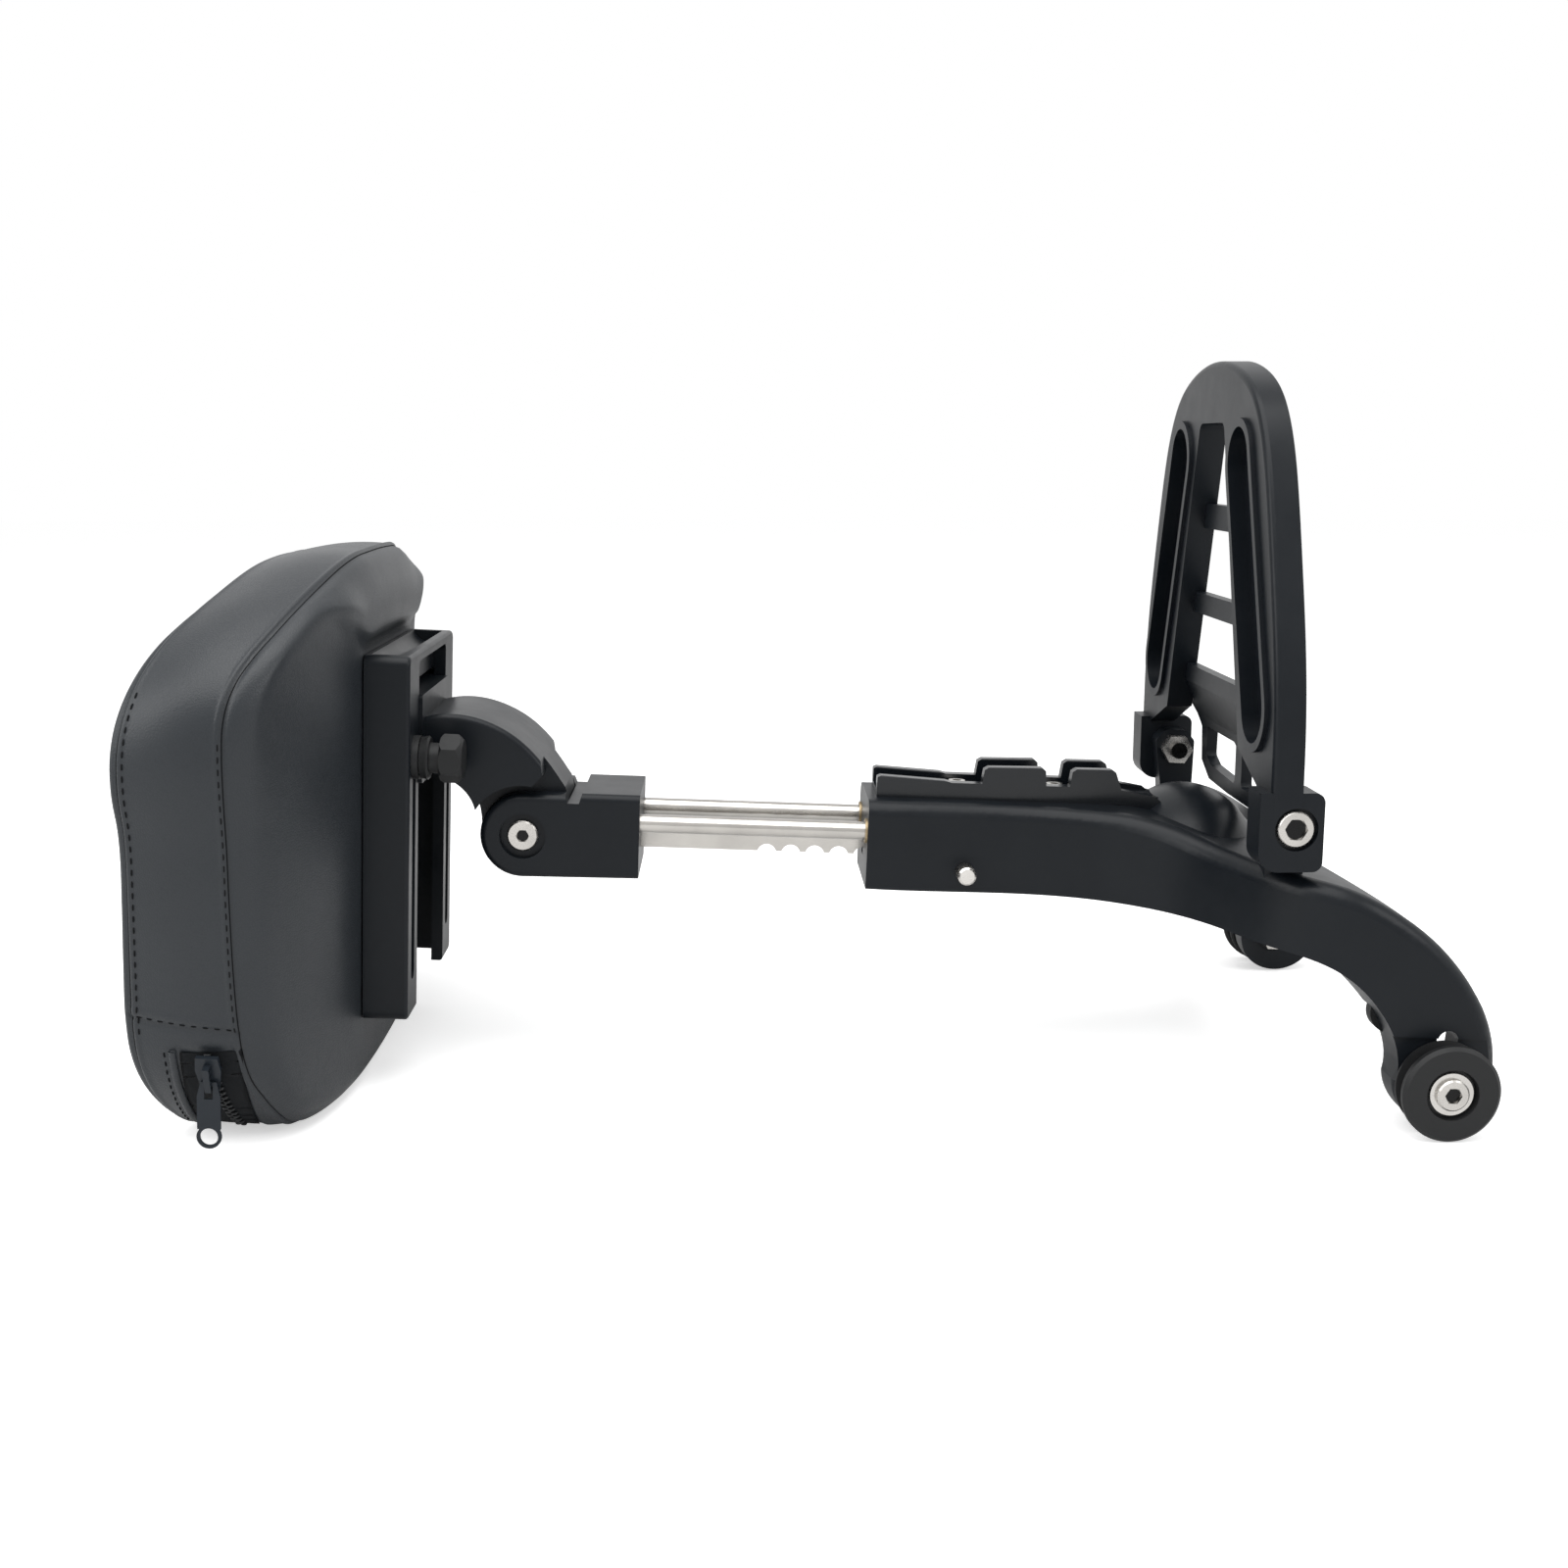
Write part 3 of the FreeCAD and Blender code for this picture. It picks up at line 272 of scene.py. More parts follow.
@dataclass(frozen=True)
class Steel:
    """Turned or ground metal with fine marks along one axis.

    A socket gets a painted shade: a dark disc round an axis that lies along Y, which stands in for the shade
    in the screw head's socket recess, given by its x and z and its radius in metres.
    """

    name: str
    colour: tuple[float, float, float, float]
    roughness: float
    stretch: tuple[float, float, float]
    socket_shade_axis: tuple[float, float] | None = None
    socket_shade_radius: float = 0.0

    def material(self) -> bpy.types.Material:
        """Build the material."""
        sheet = ShaderSheet(self.name)
        fine = sheet.noise(sheet.place(self.stretch), 1.0, 3.0, 0.6)
        cloud = sheet.noise(sheet.place(), 60.0, 3.0, 0.5)
        darker = tuple(0.72 * channel for channel in self.colour[:3]) + (1.0,)
        tone = sheet.blend(cloud.within(0.3, 0.7) * 0.6 + fine * 0.4, darker, self.colour)
        if self.socket_shade_axis:
            # painted shade: a near-black disc where the screw head's socket recess falls in shade
            tone = sheet.blend(self.socket_shade_mask(sheet), grey(0.02), tone)
        return sheet.surface({
            "Base Color": tone,
            "Metallic": 1.0,
            "Roughness": fine.within(0.3, 0.7, self.roughness - 0.05, self.roughness + 0.07),
            "Normal": sheet.bump(fine, 0.000004),
        })

    def socket_shade_mask(self, sheet: ShaderSheet) -> Wire:
        """Mask of the painted shade in the socket: 0 inside its radius, 1 outside it.

        Args:
            sheet: the tree that the nodes go to.

        Returns:
            The mask.
        """
        place = sheet.place()
        x = sheet.add("ShaderNodeSeparateXYZ", {}, {0: place}, 0) - self.socket_shade_axis[0]
        z = sheet.add("ShaderNodeSeparateXYZ", {}, {0: place}, 2) - self.socket_shade_axis[1]
        radius = (x * x + z * z) ** 0.5
        return radius.within(self.socket_shade_radius * 0.9, self.socket_shade_radius)


@dataclass(frozen=True)
class Polymer:
    """Moulded black plastic or rubber with a dry, even surface."""

    name: str
    level: float
    roughness: float

    def material(self) -> bpy.types.Material:
        """Build the material."""
        sheet = ShaderSheet(self.name)
        at = sheet.place()
        matt = sheet.noise(at, 2600.0, 2.0, 0.5)
        cloud = sheet.noise(at, 90.0, 3.0, 0.6)
        return sheet.surface({
            "Base Color": sheet.blend(cloud, grey(self.level, 1.06), grey(self.level * 1.5, 1.06)),
            "Roughness": cloud.within(0.3, 0.7, self.roughness - 0.05, self.roughness + 0.05),
            "Normal": sheet.bump(matt, 0.00001),
            "Specular IOR Level": 0.3,
        })


@dataclass(frozen=True)
class Vinyl:
    """Upholstery vinyl: pebbled grain, soft creases and a low sheen."""

    name: str
    level: float
    roughness: float
    grain_mm: float = 1.15

    def material(self) -> bpy.types.Material:
        """Build the material."""
        sheet = ShaderSheet(self.name)
        at = sheet.place()
        warp = sheet.noise(at, 420.0, 2.0, 0.5)
        pebbles = sheet.cells(at, 1 / (self.grain_mm * MM))
        pores = sheet.noise(at, 2400.0, 2.0, 0.5)
        creases = sheet.noise(sheet.place((1.0, 1.0, 0.55)), 55.0, 4.0, 0.55)
        grain = pebbles.within(0.0, 0.22) * 0.75 + warp * 0.5 + pores * 0.18
        cloud = sheet.noise(at, 16.0, 3.0, 0.5)
        # random tone, plus painted shade: the valleys between the pebbles of the grain are darker
        tone = cloud.within(0.3, 0.7) * 0.6 + pebbles.within(0.0, 0.12) * 0.4
        fine = sheet.bump(grain, 0.00006, 0.8)
        broad = sheet.add(
            "ShaderNodeBump", {}, {"Height": creases, "Distance": 0.0006, "Strength": 0.35, "Normal": fine})
        return sheet.surface({
            "Base Color": sheet.blend(tone, grey(self.level, 1.22), grey(self.level * 1.45, 1.16)),
            "Roughness": (cloud.within(0.3, 0.7, self.roughness - 0.04, self.roughness + 0.05)
                          - pebbles.within(0.0, 0.2) * 0.05),
            "Normal": broad,
            "Specular IOR Level": 0.34,
        })


@dataclass(frozen=True)
class Weave:
    """Woven tape or thread: a fine twill of crossing ribs."""

    name: str
    level: float
    pitch_mm: float = 0.7

    def material(self) -> bpy.types.Material:
        """Build the material."""
        sheet = ShaderSheet(self.name)
        across = sheet.add(
            "ShaderNodeTexWave", {"bands_direction": "DIAGONAL"},
            {"Vector": sheet.place(), "Scale": 0.31 / (self.pitch_mm * MM) / 3, "Distortion": 0.4})
        fuzz = sheet.noise(sheet.place(), 3000.0, 2.0, 0.6)
        return sheet.surface({
            "Base Color": sheet.blend(fuzz, grey(self.level, 1.2), grey(self.level * 1.8, 1.2)),
            "Roughness": 0.85,
            "Specular IOR Level": 0.2,
            "Normal": sheet.bump(across * 0.8 + fuzz * 0.3, 0.00012),
        })


def arm_to_world(points: Array) -> Array:
    """Carry points of the arm's frame in mm to the row frame in metres.

    The points turn about the fold pivot by the slope of the arm.

    Args:
        points: array whose last axis is (x, y, z).

    Returns:
        The same array in metres.
    """
    x = points[..., 0] - PIVOT_LOCAL[0]
    z = points[..., 2] - PIVOT_LOCAL[2]
    out = np.empty(points.shape, float)
    out[..., 0] = (x * math.cos(ARM_SLOPE) + z * math.sin(ARM_SLOPE)) * MM + FOLD_PIVOT[0]
    out[..., 1] = points[..., 1] * MM
    out[..., 2] = (z * math.cos(ARM_SLOPE) - x * math.sin(ARM_SLOPE)) * MM + FOLD_PIVOT[2]
    return out


def bell(distance: Array, width: float) -> Array:
    """Bell that is 1 on a line and falls off with the square of distance over width."""
    return np.exp(-((distance / width) ** 2))


def unit(vectors: Array) -> Array:
    """Scale vectors to length 1."""
    return vectors / np.maximum(np.linalg.norm(vectors, axis=-1, keepdims=True), 1e-12)


def smooth_line(places: Array, values: Array, at: Array) -> Array:
    """Cubic line through values, with slopes taken from their neighbours.

    Each span is the Hermite cubic whose end slopes are the mean slopes of the
    spans beside it.

    Args:
        places: rising places of the values.
        values: values there, one row each.
        at: where the line is wanted.

    Returns:
        Values at those places.
    """
    places = np.asarray(places, float)
    values = np.asarray(values, float)
    slopes = np.gradient(values, places, axis=0)
    span = np.clip(np.searchsorted(places, at, side="right") - 1, 0, len(places) - 2)
    width = places[span + 1] - places[span]
    t = (at - places[span]) / width
    if values.ndim > 1:
        t, width = t[:, None], width[:, None]
    start, end = values[span], values[span + 1]
    first, last = slopes[span] * width, slopes[span + 1] * width
    return (
        (2 * t**3 - 3 * t**2 + 1) * start + (t**3 - 2 * t**2 + t) * first
        + (3 * t**2 - 2 * t**3) * end + (t**3 - t**2) * last
    )


def grid_quads(rows: int, columns: int, closed: bool) -> Array:
    """Corner numbers of the faces of a grid.

    Args:
        rows, columns: points each way.
        closed: whether the last column joins the first.

    Returns:
        Four corner numbers for each face.
    """
    across = columns if closed else columns - 1
    row, column = np.meshgrid(np.arange(rows - 1), np.arange(across), indexing="ij")
    here, beside = row * columns, (column + 1) % columns
    above = (row + 1) * columns
    quads = [here + column, here + beside, above + beside, above + column]
    return np.stack([corner.ravel() for corner in quads], axis=1)


def outward(points: Array, faces: list[list[int]]) -> list[list[int]]:
    """Turn the faces of a closed shape outwards, by the sign of its volume.

    The volume is the sum, over the triangles of the faces, of a corner's dot
    product with the cross product of the other two.

    Args:
        points: places of the corners.
        faces: corner numbers of each face.

    Returns:
        The faces, reversed if the volume was negative.
    """
    total = 0.0
    for corners in {len(face) for face in faces}:
        index = np.array([face for face in faces if len(face) == corners])
        for second in range(1, corners - 1):
            a, b, c = points[index[:, 0]], points[index[:, second]], points[index[:, second + 1]]
            total += float(np.einsum("ij,ij->i", a, np.cross(b, c)).sum())
    return faces if total > 0 else [face[::-1] for face in faces]


def make_piece(
    name: str, points: Array, faces: Any, material: bpy.types.Material, smooth: bool = True,
) -> Any:
    """Put points and faces into a mesh whose object sits at the origin.

    Args:
        name: name of the piece.
        points: places in metres.
        faces: corner numbers of each face.
        material: finish of the whole piece.
        smooth: whether the shading is smooth.

    Returns:
        The object.
    """
    mesh = bpy.data.meshes.new(name)
    mesh.from_pydata(points.tolist(), [], [list(map(int, face)) for face in faces])
    mesh.materials.append(material)
    mesh.polygons.foreach_set("use_smooth", np.full(len(mesh.polygons), smooth))
    mesh.update()
    piece = bpy.data.objects.new(name, mesh)
    bpy.context.scene.collection.objects.link(piece)
    return piece


def settle(piece: Any, body: str, slot: Slot, *nodes: str) -> Any:
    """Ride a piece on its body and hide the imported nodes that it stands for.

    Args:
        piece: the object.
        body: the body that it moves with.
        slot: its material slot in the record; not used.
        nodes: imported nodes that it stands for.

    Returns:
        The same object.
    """
    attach(piece, body)
    if nodes:
        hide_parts(*nodes)
    log.info("%s: %d faces on %s", piece.name, len(piece.data.polygons), body)
    return piece


def capsules(
    at: Array, along: Array, up: Array, length: float, thick: float, sink: float,
) -> tuple[Array, list]:
    """Short threads that dive into the surface at both ends.

    Each is a tube of six sides and seven rings, whose line is an arch of one
    half wave and whose radius closes at the ends as the root of a circle.

    Args:
        at: middle of each thread.
        along: its direction.
        up: normal of the surface there.
        length, thick: size of a thread.
        sink: how far its ends go under the surface.

    Returns:
        Points and faces of all the threads.
    """
    sides, rings = 6, 7
    t = np.linspace(-1, 1, rings)
    turn = np.arange(sides) * 2 * np.pi / sides
    radius = thick / 2 * np.sqrt(np.maximum(1 - t**4, 0.02))
    lift = thick * 0.35 - (sink + thick * 0.35) * t**4
    side = unit(np.cross(up, along))
    reach = along[:, None] * (t * length / 2)[None, :, None]
    centre = at[:, None] + reach + up[:, None] * lift[None, :, None]
    cosine, sine = np.cos(turn)[None, None, :, None], np.sin(turn)[None, None, :, None]
    ring = side[:, None, None] * cosine + up[:, None, None] * sine
    points = (centre[:, :, None] + ring * radius[None, :, None, None]).reshape(-1, 3)
    one = [face[::-1] for face in grid_quads(rings, sides, True).tolist()]
    one += [list(range(sides)), [(rings - 1) * sides + k for k in reversed(range(sides))]]
    template = points[: rings * sides] - at[0]
    one = outward(template, one)
    faces = [[corner + step * rings * sides for corner in face] for step in range(len(at)) for face in one]
    return points, faces


@dataclass
class Pad:
    """Upholstered pad: its cover, seams and stitches. Sizes in mm in the arm's frame.

    An outline is a row of (y, z) from the middle of the top to the middle of
    the foot. A groove is a row of (distance from the seam, width, height):
    the seam's own dip and the fold beside it.
    """

    back_x: float = -212.6        # back of the board behind the tray
    floor_from_x: float = -212.5  # where the floor passes the height of the foot
    foot: float = -106.4
    round_steps: int = 288
    seam_middle_x: float = -216.5
    seam_sweep: float = 28.9      # how far the back seam runs forward at the sides
    seam_half_width: float = 144.0
    front_middle_x: float = -256.3
    front_hollow: float = 28.0
    front_half_width: float = 143.0
    front_foot: float = 2.6       # how far the lower front stands forward
    turn_z: float = 25.0          # height at which the upper and lower forms part
    face_middle: tuple = (0.0, 6.0)
    back_seam: tuple = (
        (0, 119.6), (20, 119.3), (42, 118.2), (60, 115.2), (83, 108.4), (101.5, 100.7), (115, 93.4),
        (128, 85.2), (136.5, 77.4), (141.4, 69.2), (143.6, 61), (144.0, 50.7), (143.4, 36.3), (142.0, 17.3),
        (140.9, -6.7), (139.1, -35.7), (136.9, -55.7), (134.6, -67), (129.6, -79), (124, -86.5),
        (116.5, -95), (108, -102), (98, -105.6), (84, -106.4), (60, -106.4), (30, -106.4), (0, -106.4),
    )
    front_seam: tuple = (
        (0, 114.1), (28, 113.6), (56, 110.1), (80, 102.6), (103, 94.1), (116, 87.2), (127, 78.4),
        (135, 68.6), (139.6, 59.5), (142.2, 48.9), (142.2, 34.9), (139.6, 19.9), (137.0, -9.1),
        (135.0, -35), (133.5, -55), (131.4, -68), (126.6, -80), (119, -91), (109, -100.6), (100, -106),
        (86, -109), (60, -109.4), (30, -109.4), (0, -109.4),
    )
    board_edge: tuple = (
        (0, 82), (30, 82), (57, 83), (76, 90), (92, 93.5), (110, 86), (122, 77), (128, 66), (129, 43),
        (128.5, -5), (124, -60), (119, -80), (108, -92), (90, -97), (60, -98), (30, -98), (0, -98),
    )
    # How far the board comes forward: (y, distance)
    sweep: tuple = (
        (0, 0), (30, 0), (57, 0.3), (80, 2.8), (95, 6), (108, 9.6), (118, 13), (131, 21),
        (139, 29), (146, 38),
    )
    back_groove: tuple = ((0.0, 0.7, -1.2), (1.8, 1.0, 0.7))     # distances in rows of the fine grid
    front_groove: tuple = ((0.0, 0.8, -1.2), (-1.9, 1.0, 0.5))   # distances in rows of the fine grid
    side_groove: tuple = ((0.0, 1.2, -0.9), (2.4, 1.5, 0.45))    # distances in mm of height
    zip_depth: float = 1.5
    disc_rings: int = 13
    bulge_rings: int = 9
    band_rings: int = 22
    face_rings: int = 15
    swell_cap: float = 4.0        # furthest that the stuffing moves a point
    cover: bpy.types.Material | None = None
    rings: Array = field(default_factory=lambda: np.zeros((0, 0, 3)))    # arm frame, mm
    points: Array = field(default_factory=lambda: np.zeros((0, 0, 3)))   # row frame, metres
    normals: Array = field(default_factory=lambda: np.zeros((0, 0, 3)))

    def outline(self, half: tuple) -> Array:
        """Close a half outline and share its points evenly by arc length.

        The half is mirrored, a cubic line runs through all its points, and the
        closed line is cut into equal steps, starting in the middle of the top
        and going down the +Y side.

        Args:
            half: (y, z) points from the top to the foot.

        Returns:
            round_steps points (y, z).
        """
        right = np.array(half, float)
        left = right[1:-1][::-1] * (-1, 1)
        loop = np.vstack([left[-2:], right, left, right[:3]])
        chord = np.concatenate([[0], np.cumsum(np.linalg.norm(np.diff(loop, axis=0), axis=1))])
        fine = smooth_line(chord, loop, np.linspace(chord[2], chord[-3], 4000))
        arc = np.concatenate([[0], np.cumsum(np.linalg.norm(np.diff(fine, axis=0), axis=1))])
        even = np.arange(self.round_steps) / self.round_steps * arc[-1]
        return np.stack([np.interp(even, arc, fine[:, k]) for k in (0, 1)], axis=1)

    def back_plane(self, y: Array) -> Array:
        """X of the board's back: flat behind the tray, swept forward at the sides."""
        table = np.array(self.sweep, float)
        return self.back_x - smooth_line(table[:, 0], table[:, 1], np.clip(np.abs(y), 0, 145.9))

    def seam_x(self, line: Array) -> Array:
        """X of the back seam: it runs forward from the top to the sides."""
        share = np.abs(line[:, 0]) / self.seam_half_width
        return self.seam_middle_x - self.seam_sweep * share**2.4

    def front_face(self, line: Array, depth: float) -> Array:
        """X of the front face: a hollow for the rider, and a lower part that stands forward.

        The hollow is a parabola over the width, and the lower part comes in
        by a smooth step over 85 mm of height.

        Args:
            line: points (y, z).
            depth: how far the cover is crowned there.

        Returns:
            X of each point.
        """
        lower = np.clip((self.turn_z - line[:, 1]) / 85.0, 0, 1)
        foot = lower**2 * (3 - 2 * lower)
        hollow = self.front_hollow * (line[:, 0] / self.front_half_width) ** 2
        return self.front_middle_x - hollow - self.front_foot * foot - depth

    def shell(self) -> Array:
        """Rings of the cover from the middle of the back to the middle of the front.

        The back is the board's disc, then a roll out to the back seam, which
        is fuller at the top and fullest at the two upper corners. The band
        runs straight to the front seam with a slight crown, and the front
        face closes over the hollow.

        Returns:
            Array (rings, round_steps, 3) in mm.
        """
        seam = self.outline(self.back_seam)
        front = self.outline(self.front_seam)
        crease = self.outline(self.board_edge)
        middle = np.array(self.face_middle)
        rings = []
        for share in np.linspace(0.02, 1.0, self.disc_rings):
            line = middle + (crease - middle) * share
            rings.append(np.column_stack([self.back_plane(line[:, 0]), line]))
        low = rings[-1]
        high = np.column_stack([self.seam_x(seam), seam])
        out = unit(high - low)
        around = unit(np.roll(high, -1, axis=0) - np.roll(high, 1, axis=0))
        puff = unit(np.cross(out, around))
        puff *= np.sign(puff[:, :1])
        upper = np.clip((seam[:, 1] - self.turn_z) / 60.0, 0, 1)
        corner = bell(np.abs(seam[:, 0]) - 82.0, 16.0) * (seam[:, 1] > 60)
        fullness = (1.6 + 4.6 * upper + 1.6 * corner)[:, None]
        for share in np.linspace(0, 1, self.bulge_rings + 1)[1:]:
            arch = math.sin(math.pi * share**0.88) ** 0.6 if share < 1 else 0.0
            rings.append(low + (high - low) * share + puff * fullness * arch)
        self.soften(rings, seam)
        lip = np.column_stack([self.front_face(front, 0.0), front])
        tangent = unit(np.roll(front, -1, axis=0) - np.roll(front, 1, axis=0))
        side = np.column_stack([np.zeros(len(front)), -tangent[:, 1], tangent[:, 0]])
        for share in np.linspace(0, 1, self.band_rings + 1)[1:]:
            crown = 2.4 * math.sin(math.pi * share)
            rings.append(high + (lip - high) * share + side * crown)
        for share in np.linspace(0, 1, self.face_rings + 1)[1:] ** 1.6:
            line = middle + (front - middle) * (1 - 0.98 * share)
            crown = 5.2 * math.sqrt(1 - (1 - min(1.0, share / 0.12)) ** 2) - 3.0 * share**2
            rings.append(np.column_stack([self.front_face(line, crown), line]))
        return np.array(rings)

    def soften(self, rings: list[Array], seam: Array) -> None:
        """Round the valley along the board's edge, except over the tray, where it stays sharp.

        Args:
            rings: rings of the shell so far, changed in place.
            seam: points (y, z) of the back seam.
        """
        over_tray = (seam[:, 1] > 75) & (np.abs(seam[:, 0]) < 75)
        share = np.where(over_tray, 0.0, 1.0)
        for _ in range(12):
            share = 0.25 * np.roll(share, 1) + 0.5 * share + 0.25 * np.roll(share, -1)
        for _ in range(4):
            before = [ring.copy() for ring in rings]
            for k in range(self.disc_rings - 4, self.disc_rings + 3):
                mean = 0.25 * before[k - 1] + 0.5 * before[k] + 0.25 * before[k + 1]
                rings[k] = before[k] + (mean - before[k]) * share[:, None]

    @property
    def seam_ring(self) -> int:
        """Number of the ring on the back seam."""
        return self.disc_rings + self.bulge_rings - 1

    @property
    def lip_ring(self) -> int:
        """Number of the ring on the front seam."""
        return self.seam_ring + self.band_rings

    def faces(self, rings: int) -> list[list[int]]:
        """Faces of the closed shell, its two poles closed by one face each.

        Args:
            rings: number of rings.

        Returns:
            Corner numbers of each face.
        """
        steps = self.round_steps
        faces = grid_quads(rings, steps, True).tolist()
        faces.append(list(range(steps)))
        faces.append([(rings - 1) * steps + k for k in range(steps)][::-1])
        return faces

    def stuff(self, shell: Array) -> Array:
        """Fill the cover: a cloth with pressure inside, held at its seams.

        The way that the front face moved gives over, ring by ring, to one
        even push, so that it doesn't pucker round its pole.

        Args:
            shell: rings in mm.

        Returns:
            The filled rings in mm, no point moved further than the cap.
        """
        flat = (shell * MM).reshape(-1, 3)
        faces = outward(flat, self.faces(len(shell)))
        trial = make_piece("pad_trial", flat, faces, bpy.data.materials.new("trial"))
        held = np.zeros(shell.shape[:2])
        held[: self.disc_rings - 1] = 1.0
        held[self.disc_rings - 1] = 0.9
        held[self.seam_ring] = 0.85
        held[self.lip_ring] = 0.8
        group = trial.vertex_groups.new(name="held")
        for index, weight in enumerate(held.ravel()):
            if weight > 0:
                group.add([index], float(weight), "REPLACE")
        cloth = trial.modifiers.new("stuffing", "CLOTH")
        settings = cloth.settings
        settings.quality = 6
        settings.mass = 0.3
        settings.tension_stiffness = 30
        settings.compression_stiffness = 20
        settings.shear_stiffness = 10
        settings.bending_stiffness = 3
        settings.use_pressure = True
        settings.uniform_pressure_force = 4
        settings.effector_weights.gravity = 0
        settings.vertex_group_mass = "held"
        cloth.point_cache.frame_start = 1
        cloth.point_cache.frame_end = 20
        scene = bpy.context.scene
        for frame in range(1, 21):
            scene.frame_set(frame)
        view = trial.evaluated_get(bpy.context.evaluated_depsgraph_get())
        mesh = view.to_mesh()
        filled = np.empty(len(mesh.vertices) * 3)
        mesh.vertices.foreach_get("co", filled)
        view.to_mesh_clear()
        scene.frame_set(1)
        bpy.data.objects.remove(trial)
        moved = filled.reshape(shell.shape) / MM - shell
        length = np.linalg.norm(moved, axis=-1, keepdims=True)
        moved *= np.minimum(1.0, self.swell_cap / np.maximum(length, 1e-9))
        for _ in range(2):
            moved = 0.25 * np.roll(moved, 1, axis=1) + 0.5 * moved + 0.25 * np.roll(moved, -1, axis=1)
        inward = np.linspace(0, 1, self.face_rings + 1)[1:, None, None] ** 0.6
        face = moved[self.lip_ring + 1:]
        calm = np.zeros_like(face)
        calm[..., 0] = face[..., 0].mean(axis=1, keepdims=True)[len(face) // 2]
        moved[self.lip_ring + 1:] = face * (1 - inward) + calm * inward
        log.info("stuffing moved the cover by up to %.1f mm", float(np.minimum(length, self.swell_cap).max()))
        return shell + moved

    def refine(self, rings: Array) -> Array:
        """Double the grid both ways with cubic lines through its points.

        Args:
            rings: grid in mm.

        Returns:
            The finer grid; round_steps is doubled with it.
        """
        rows = np.arange(len(rings), dtype=float)
        finer = np.arange(0, len(rings) - 0.75, 0.5)
        flat = smooth_line(rows, rings.reshape(len(rings), -1), finer)
        tall = flat.reshape(len(finer), self.round_steps, 3)
        wrapped = np.concatenate([tall[:, -2:], tall, tall[:, :3]], axis=1)
        columns = np.arange(wrapped.shape[1], dtype=float) - 2
        wide = np.arange(0, self.round_steps, 0.5)
        swapped = wrapped.transpose(1, 0, 2).reshape(wrapped.shape[1], -1)
        fine = smooth_line(columns, swapped, wide).reshape(len(wide), len(finer), 3)
        self.round_steps *= 2
        return fine.transpose(1, 0, 2)

    def grid_normals(self, rings: Array) -> Array:
        """Normals from the cross product of the grid's two directions, turned outwards.

        Args:
            rings: a grid of points.

        Returns:
            One normal of length 1 for each point.
        """
        around = np.roll(rings, -1, axis=1) - np.roll(rings, 1, axis=1)
        along = np.gradient(rings, axis=0)
        normal = unit(np.cross(around, along))
        middle = rings.mean(axis=(0, 1))
        sign = np.sign(((rings - middle) * normal).sum())
        return normal * sign

    def side_seam(self, x: Array) -> Array:
        """Height of the seam across the side of the cover, over the zip."""
        return -52.4 - 3.6 * (x + 283.0) / 40.0

    def sew(self, rings: Array) -> Array:
        """Pull the seams in and raise the folds beside them.

        A seam is a groove whose depth falls off as a bell with the distance
        from its line; the fold is a low bell beside it.

        Args:
            rings: fine grid in mm.

        Returns:
            The sewn grid.
        """
        normal = self.grid_normals(rings)
        row = np.arange(len(rings))[:, None]
        depth = np.zeros(rings.shape[:2])
        grooves = ((2 * self.seam_ring, self.back_groove), (2 * self.lip_ring, self.front_groove))
        for seam, groove in grooves:
            for offset, width, height in groove:
                depth += height * bell(row - seam - offset, width)
        on_band = (row >= 2 * self.seam_ring) & (row <= 2 * self.lip_ring)
        gap = rings[..., 2] - self.side_seam(rings[..., 0])
        on_side = on_band & (np.abs(rings[..., 1]) > 100)
        for offset, width, height in self.side_groove:
            depth += np.where(on_side, height * bell(gap - offset, width), 0)
        depth -= np.where(on_band, self.zip_depth * self.zip_recess(rings), 0)
        return rings + normal * depth[..., None]

    def zip_recess(self, rings: Array) -> Array:
        """Opening of the zip: the product of three steep logistic steps.

        Args:
            rings: fine grid in mm.

        Returns:
            1 inside the opening, 0 outside it.
        """
        x, y, z = rings[..., 0], rings[..., 1], rings[..., 2]
        steep = 0.7
        front = -265.8 - 0.6 * np.clip((-64 - z) / 20, 0, 2)
        back = -241.2
        across = 1 / (1 + np.exp(-(x - front) / steep)) / (1 + np.exp((x - back) / steep))
        inside = across / (1 + np.exp((z + 63.5) / steep))
        return inside * (y < -95)

    def settle_on_floor(self, rings: Array) -> Array:
        """Keep every point above the floor and in front of the tray.

        A height under 3 mm over the floor becomes 3 mm times e to the power
        of its own lack over 3 mm, so that it nears the floor and never
        passes it.

        Args:
            rings: fine grid in mm.

        Returns:
            The settled grid.
        """
        out = rings.copy()
        near = 3
        floor = self.foot - math.tan(ARM_SLOPE) * (self.floor_from_x - out[..., 0])
        gap = out[..., 2] - floor
        pressed = near * np.exp((np.minimum(gap, near) - near) / near)
        out[..., 2] = floor + np.where(gap > near, gap, pressed)
        behind_tray = (np.abs(out[..., 1]) < 60) & (np.abs(out[..., 2]) < 79.5) & (out[..., 0] > -230)
        out[..., 0] = np.where(behind_tray, np.minimum(out[..., 0], self.back_x), out[..., 0])
        return out

    def at(self, row: Array, column: Array) -> tuple[Array, Array]:
        """Points and normals of the finished cover at fractional grid places.

        Args:
            row, column: places in the fine grid.

        Returns:
            Points in metres and normals of length 1.
        """
        rows, columns = self.points.shape[:2]
        low_row = np.clip(np.floor(row).astype(int), 0, rows - 2)
        low_column = np.floor(column).astype(int)
        u, v = (row - low_row)[:, None], (column - low_column)[:, None]
        a, b = low_column % columns, (low_column + 1) % columns

        def mixed(grid: Array) -> Array:
            """Blend the four corners round each place."""
            upper = grid[low_row, a] * (1 - v) + grid[low_row, b] * v
            lower = grid[low_row + 1, a] * (1 - v) + grid[low_row + 1, b] * v
            return upper * (1 - u) + lower * u

        return mixed(self.points), unit(mixed(self.normals))

